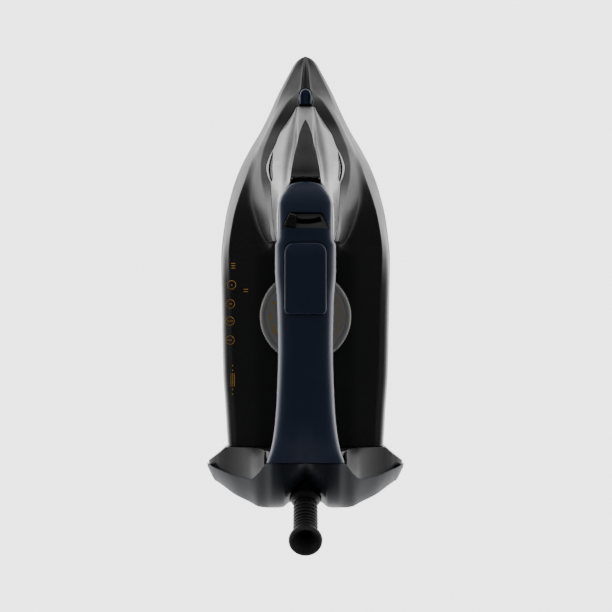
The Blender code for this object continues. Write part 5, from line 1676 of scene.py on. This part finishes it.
@dataclass
class DeckPrint:
    """Plain gold marks on the left of the deck: four ringed marks with bars and dots beside them."""

    form: HousingForm
    finishes: Finishes
    ring_places: tuple[Flat, ...] = ((-46.6, 19.9), (-47.4, 7.9), (-47.6, -2.9), (-47.6, -14.9))
    ring_width: float = 5.4
    tick_rows: tuple[tuple[float, float, int], ...] = ((-45.6, 32.0, 3), (-37.6, 16.4, 2))
    bar_place: Flat = (-46.4, -40.0)

    def build(self) -> None:
        """Builds the prints as one thin piece on the housing."""
        gold = self.finishes.of(GOLD_INK)
        rings = [self.place(x, y) for x, y in self.ring_places]
        dots, bars = [], []
        for count, (x, y) in enumerate(self.ring_places, start=1):
            first = x - 1.25 * (count - 1) / 2
            dots += [self.place(first + 1.25 * i, y) for i in range(min(count, 3))]
        for x, y, count in self.tick_rows:
            bars += [self.place(x, y + 1.5 * (i - (count - 1) / 2)) for i in range(count)]
        long_x, long_y = self.bar_place
        dots += [self.place(long_x + 0.4, long_y + 3.0 * i) for i in (-3, -2, 2, 3)]
        long_bars = [self.place(long_x + 0.4 + shift, long_y) for shift in (-1.1, 0.0, 1.1)]
        pieces = [
            self.stamped("deck_rings", rings, Stamp.RING, self.ring_width, 0.42, gold),
            self.stamped("deck_dots", dots, Stamp.DOT, 0.95, 0.0, gold),
            self.stamped("deck_ticks", bars, Stamp.BAR, 2.6, 0.55, gold),
            self.stamped("deck_bars", long_bars, Stamp.BAR, 0.5, 8.4, gold),
        ]
        print_layer = merged(pieces, "deck_print")
        for vertex in print_layer.data.vertices:
            vertex.co.z += self.form.height(vertex.co.x / MM, vertex.co.y / MM) * MM
        hand_over(print_layer, Body.SHELL, Slot.BLACK)

    def place(self, x: float, y: float) -> tuple[Vector, Vector]:
        """A mark's place in plan, before it is draped over the deck."""
        return Vector((x, y, 0.07)), Vector()

    def stamped(self, name: str, places: list[tuple[Vector, Vector]], stamp: Stamp, width: float,
                length: float, ink: Material) -> Object:
        """Marks of one kind, in millimetres."""
        return grow_tree(point_host(name, places), stamp_tree(stamp), {
            "Width": width * MM, "Length": length * MM, "Thickness": 0.08 * MM, "Finish": ink,
        })


# ---------------------------------------------------------------- pieces kept from the CAD model


def dress_insides(nodes: dict, finishes: Finishes) -> None:
    """Gives each CAD node that stays in sight its real material.

    Args:
        nodes: The CAD nodes by name.
        finishes: Where the materials come from.
    """
    by_finish = {
        CAST_ALUMINIUM: ("sole_casting",),
        DRAWN_STEEL: (
            "heating_element", "steam_chamber_cover", "thermostat", "thermostat_spindle", "door_pin",
            "rocker_pin", "front_spring", "rear_spring", "heel_screw_right", "heel_screw_left",
            *(f"chamber_screw_{i}" for i in range(1, 5)),
        ),
        TURNED_BRASS: ("thermal_fuse",),
        CORD_RUBBER: ("spray_tube", "lead_right", "lead_left"),
        SMOKED_PC: ("water_tank",),
        GREY_ABS: ("steam_valve_rod", "front_plunger", "rear_plunger"),
        BLACK_ABS: ("pump_block", "terminal_block", "spray_nozzle"),
    }
    for finish, names in by_finish.items():
        for name in names:
            piece = nodes[name]
            piece.data.materials.clear()
            piece.data.materials.append(finishes.of(finish))
            LOG.info("%s: kept, in %s", name, finish.name)


# ---------------------------------------------------------------- studio


@dataclass
class Studio:
    """A round white cove that glows as painted light, a dark ceiling, two side softboxes and the camera
    overhead.
    """

    finishes: Finishes
    cove_radius: float = 2.4
    cove_height: float = 1.5
    floor_glow: float = 3.4
    wall_glow: float = 0.26
    ceiling: float = 0.24
    side_power: float = 0.8
    camera_at: tuple[float, float, float] = (0.0003, 0.0066, 1.5)
    lens: float = 136.05

    def build(self) -> None:
        """Builds the cove, the lights and the camera."""
        self.build_cove()
        self.build_lights()
        camera = bpy.data.objects.new("camera", bpy.data.cameras.new("camera"))
        bpy.context.scene.collection.objects.link(camera)
        camera.location = self.camera_at
        camera.data.lens = self.lens
        camera.data.sensor_width = 36.0
        bpy.context.scene.camera = camera

    def build_cove(self) -> None:
        """The floor, which curves up into a low wall and glows as painted light: brightest in a pool round
        the iron, faint on the wall.
        """
        bend = 0.5
        profile = [(0.02, 0.0), (0.4, 0.0), (1.0, 0.0), (self.cove_radius - bend, 0.0)]
        for i in range(1, 9):
            a = math.radians(90 * i / 8)
            profile.append((self.cove_radius - bend + bend * math.sin(a), bend - bend * math.cos(a)))
        profile.append((self.cove_radius, self.cove_height))
        shape = bmesh.new()
        count = 96
        turns = [FULL_TURN * i / count for i in range(count)]
        rows = [[shape.verts.new((r * math.cos(a), r * math.sin(a), z)) for a in turns] for r, z in profile]
        shape.faces.new(rows[0])
        for low, high in zip(rows, rows[1:]):
            for i in range(count):
                j = (i + 1) % count
                shape.faces.new((low[i], high[i], high[j], low[j]))
        mesh = bpy.data.meshes.new("cove")
        shape.to_mesh(mesh)
        shape.free()
        cove = bpy.data.objects.new("cove", mesh)
        bpy.context.scene.collection.objects.link(cove)
        glowing_paper = self.finishes.of(BACKDROP_PAPER)
        shader = glowing_paper.node_tree.nodes["Principled BSDF"]
        shader.inputs["Emission Color"].default_value = (1.0, 1.0, 1.0, 1.0)
        tree = glowing_paper.node_tree
        place = add_node(tree, "ShaderNodeTexCoord").outputs["Object"]
        reach = add_node(tree, "ShaderNodeVectorMath", {"operation": "LENGTH"}, {0: place}).outputs["Value"]
        # Painted light: the cove's emission is a bright pool round the iron that fades towards the wall.
        glow = add_node(tree, "ShaderNodeMapRange", {"interpolation_type": "SMOOTHSTEP"}, {
            "Value": reach, "From Min": 0.30, "From Max": 1.1,
            "To Min": self.floor_glow, "To Max": self.wall_glow,
        })
        tree.links.new(glow.outputs["Result"], shader.inputs["Emission Strength"])
        mesh.materials.append(glowing_paper)
        mesh.shade_smooth()

    def build_lights(self) -> None:
        """A softbox on each side and one behind, and the dark ceiling."""
        for name, place, size, power in (
            ("softbox_left", (-1.25, 0.1, 0.95), (0.8, 1.5), self.side_power),
            ("softbox_right", (1.25, 0.1, 0.95), (0.8, 1.5), self.side_power),
            ("softbox_rear", (0.0, -1.3, 0.8), (1.4, 0.6), 0.6 * self.side_power),
        ):
            light = bpy.data.objects.new(name, bpy.data.lights.new(name, "AREA"))
            light.data.shape = "RECTANGLE"
            light.data.size, light.data.size_y = size
            light.data.energy = power
            light.location = place
            light.rotation_euler = (-Vector(place)).to_track_quat("-Z", "Y").to_euler()
            bpy.context.scene.collection.objects.link(light)
        world = bpy.data.worlds.new("ceiling")
        world.use_nodes = True
        background = world.node_tree.nodes["Background"]
        background.inputs["Color"].default_value = (1.0, 1.0, 1.0, 1.0)
        background.inputs["Strength"].default_value = self.ceiling
        bpy.context.scene.world = world


def main() -> None:
    """Builds the studio and every piece, in the order that they are fitted."""
    logging.basicConfig(level=logging.INFO, format="%(message)s")
    finishes = Finishes()
    Studio(finishes).build()
    form = HousingForm()
    handle = HandleUnit(finishes)
    inlet, inlet_tilt = Vector((0.0, 101.0, 83.7)), math.radians(-51.7)
    BodyUnit(form, finishes, inlet, inlet_tilt).build(handle.front_plan(0.0))
    FrontUnit(form, finishes, inlet, inlet_tilt).build(handle.front_plan(GAP))
    handle.build()
    DialUnit(finishes).build()
    HeelUnit(finishes).build()
    DeckPrint(form, finishes).build()
    dress_insides(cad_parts, finishes)


if __name__ == "__main__":
    main()
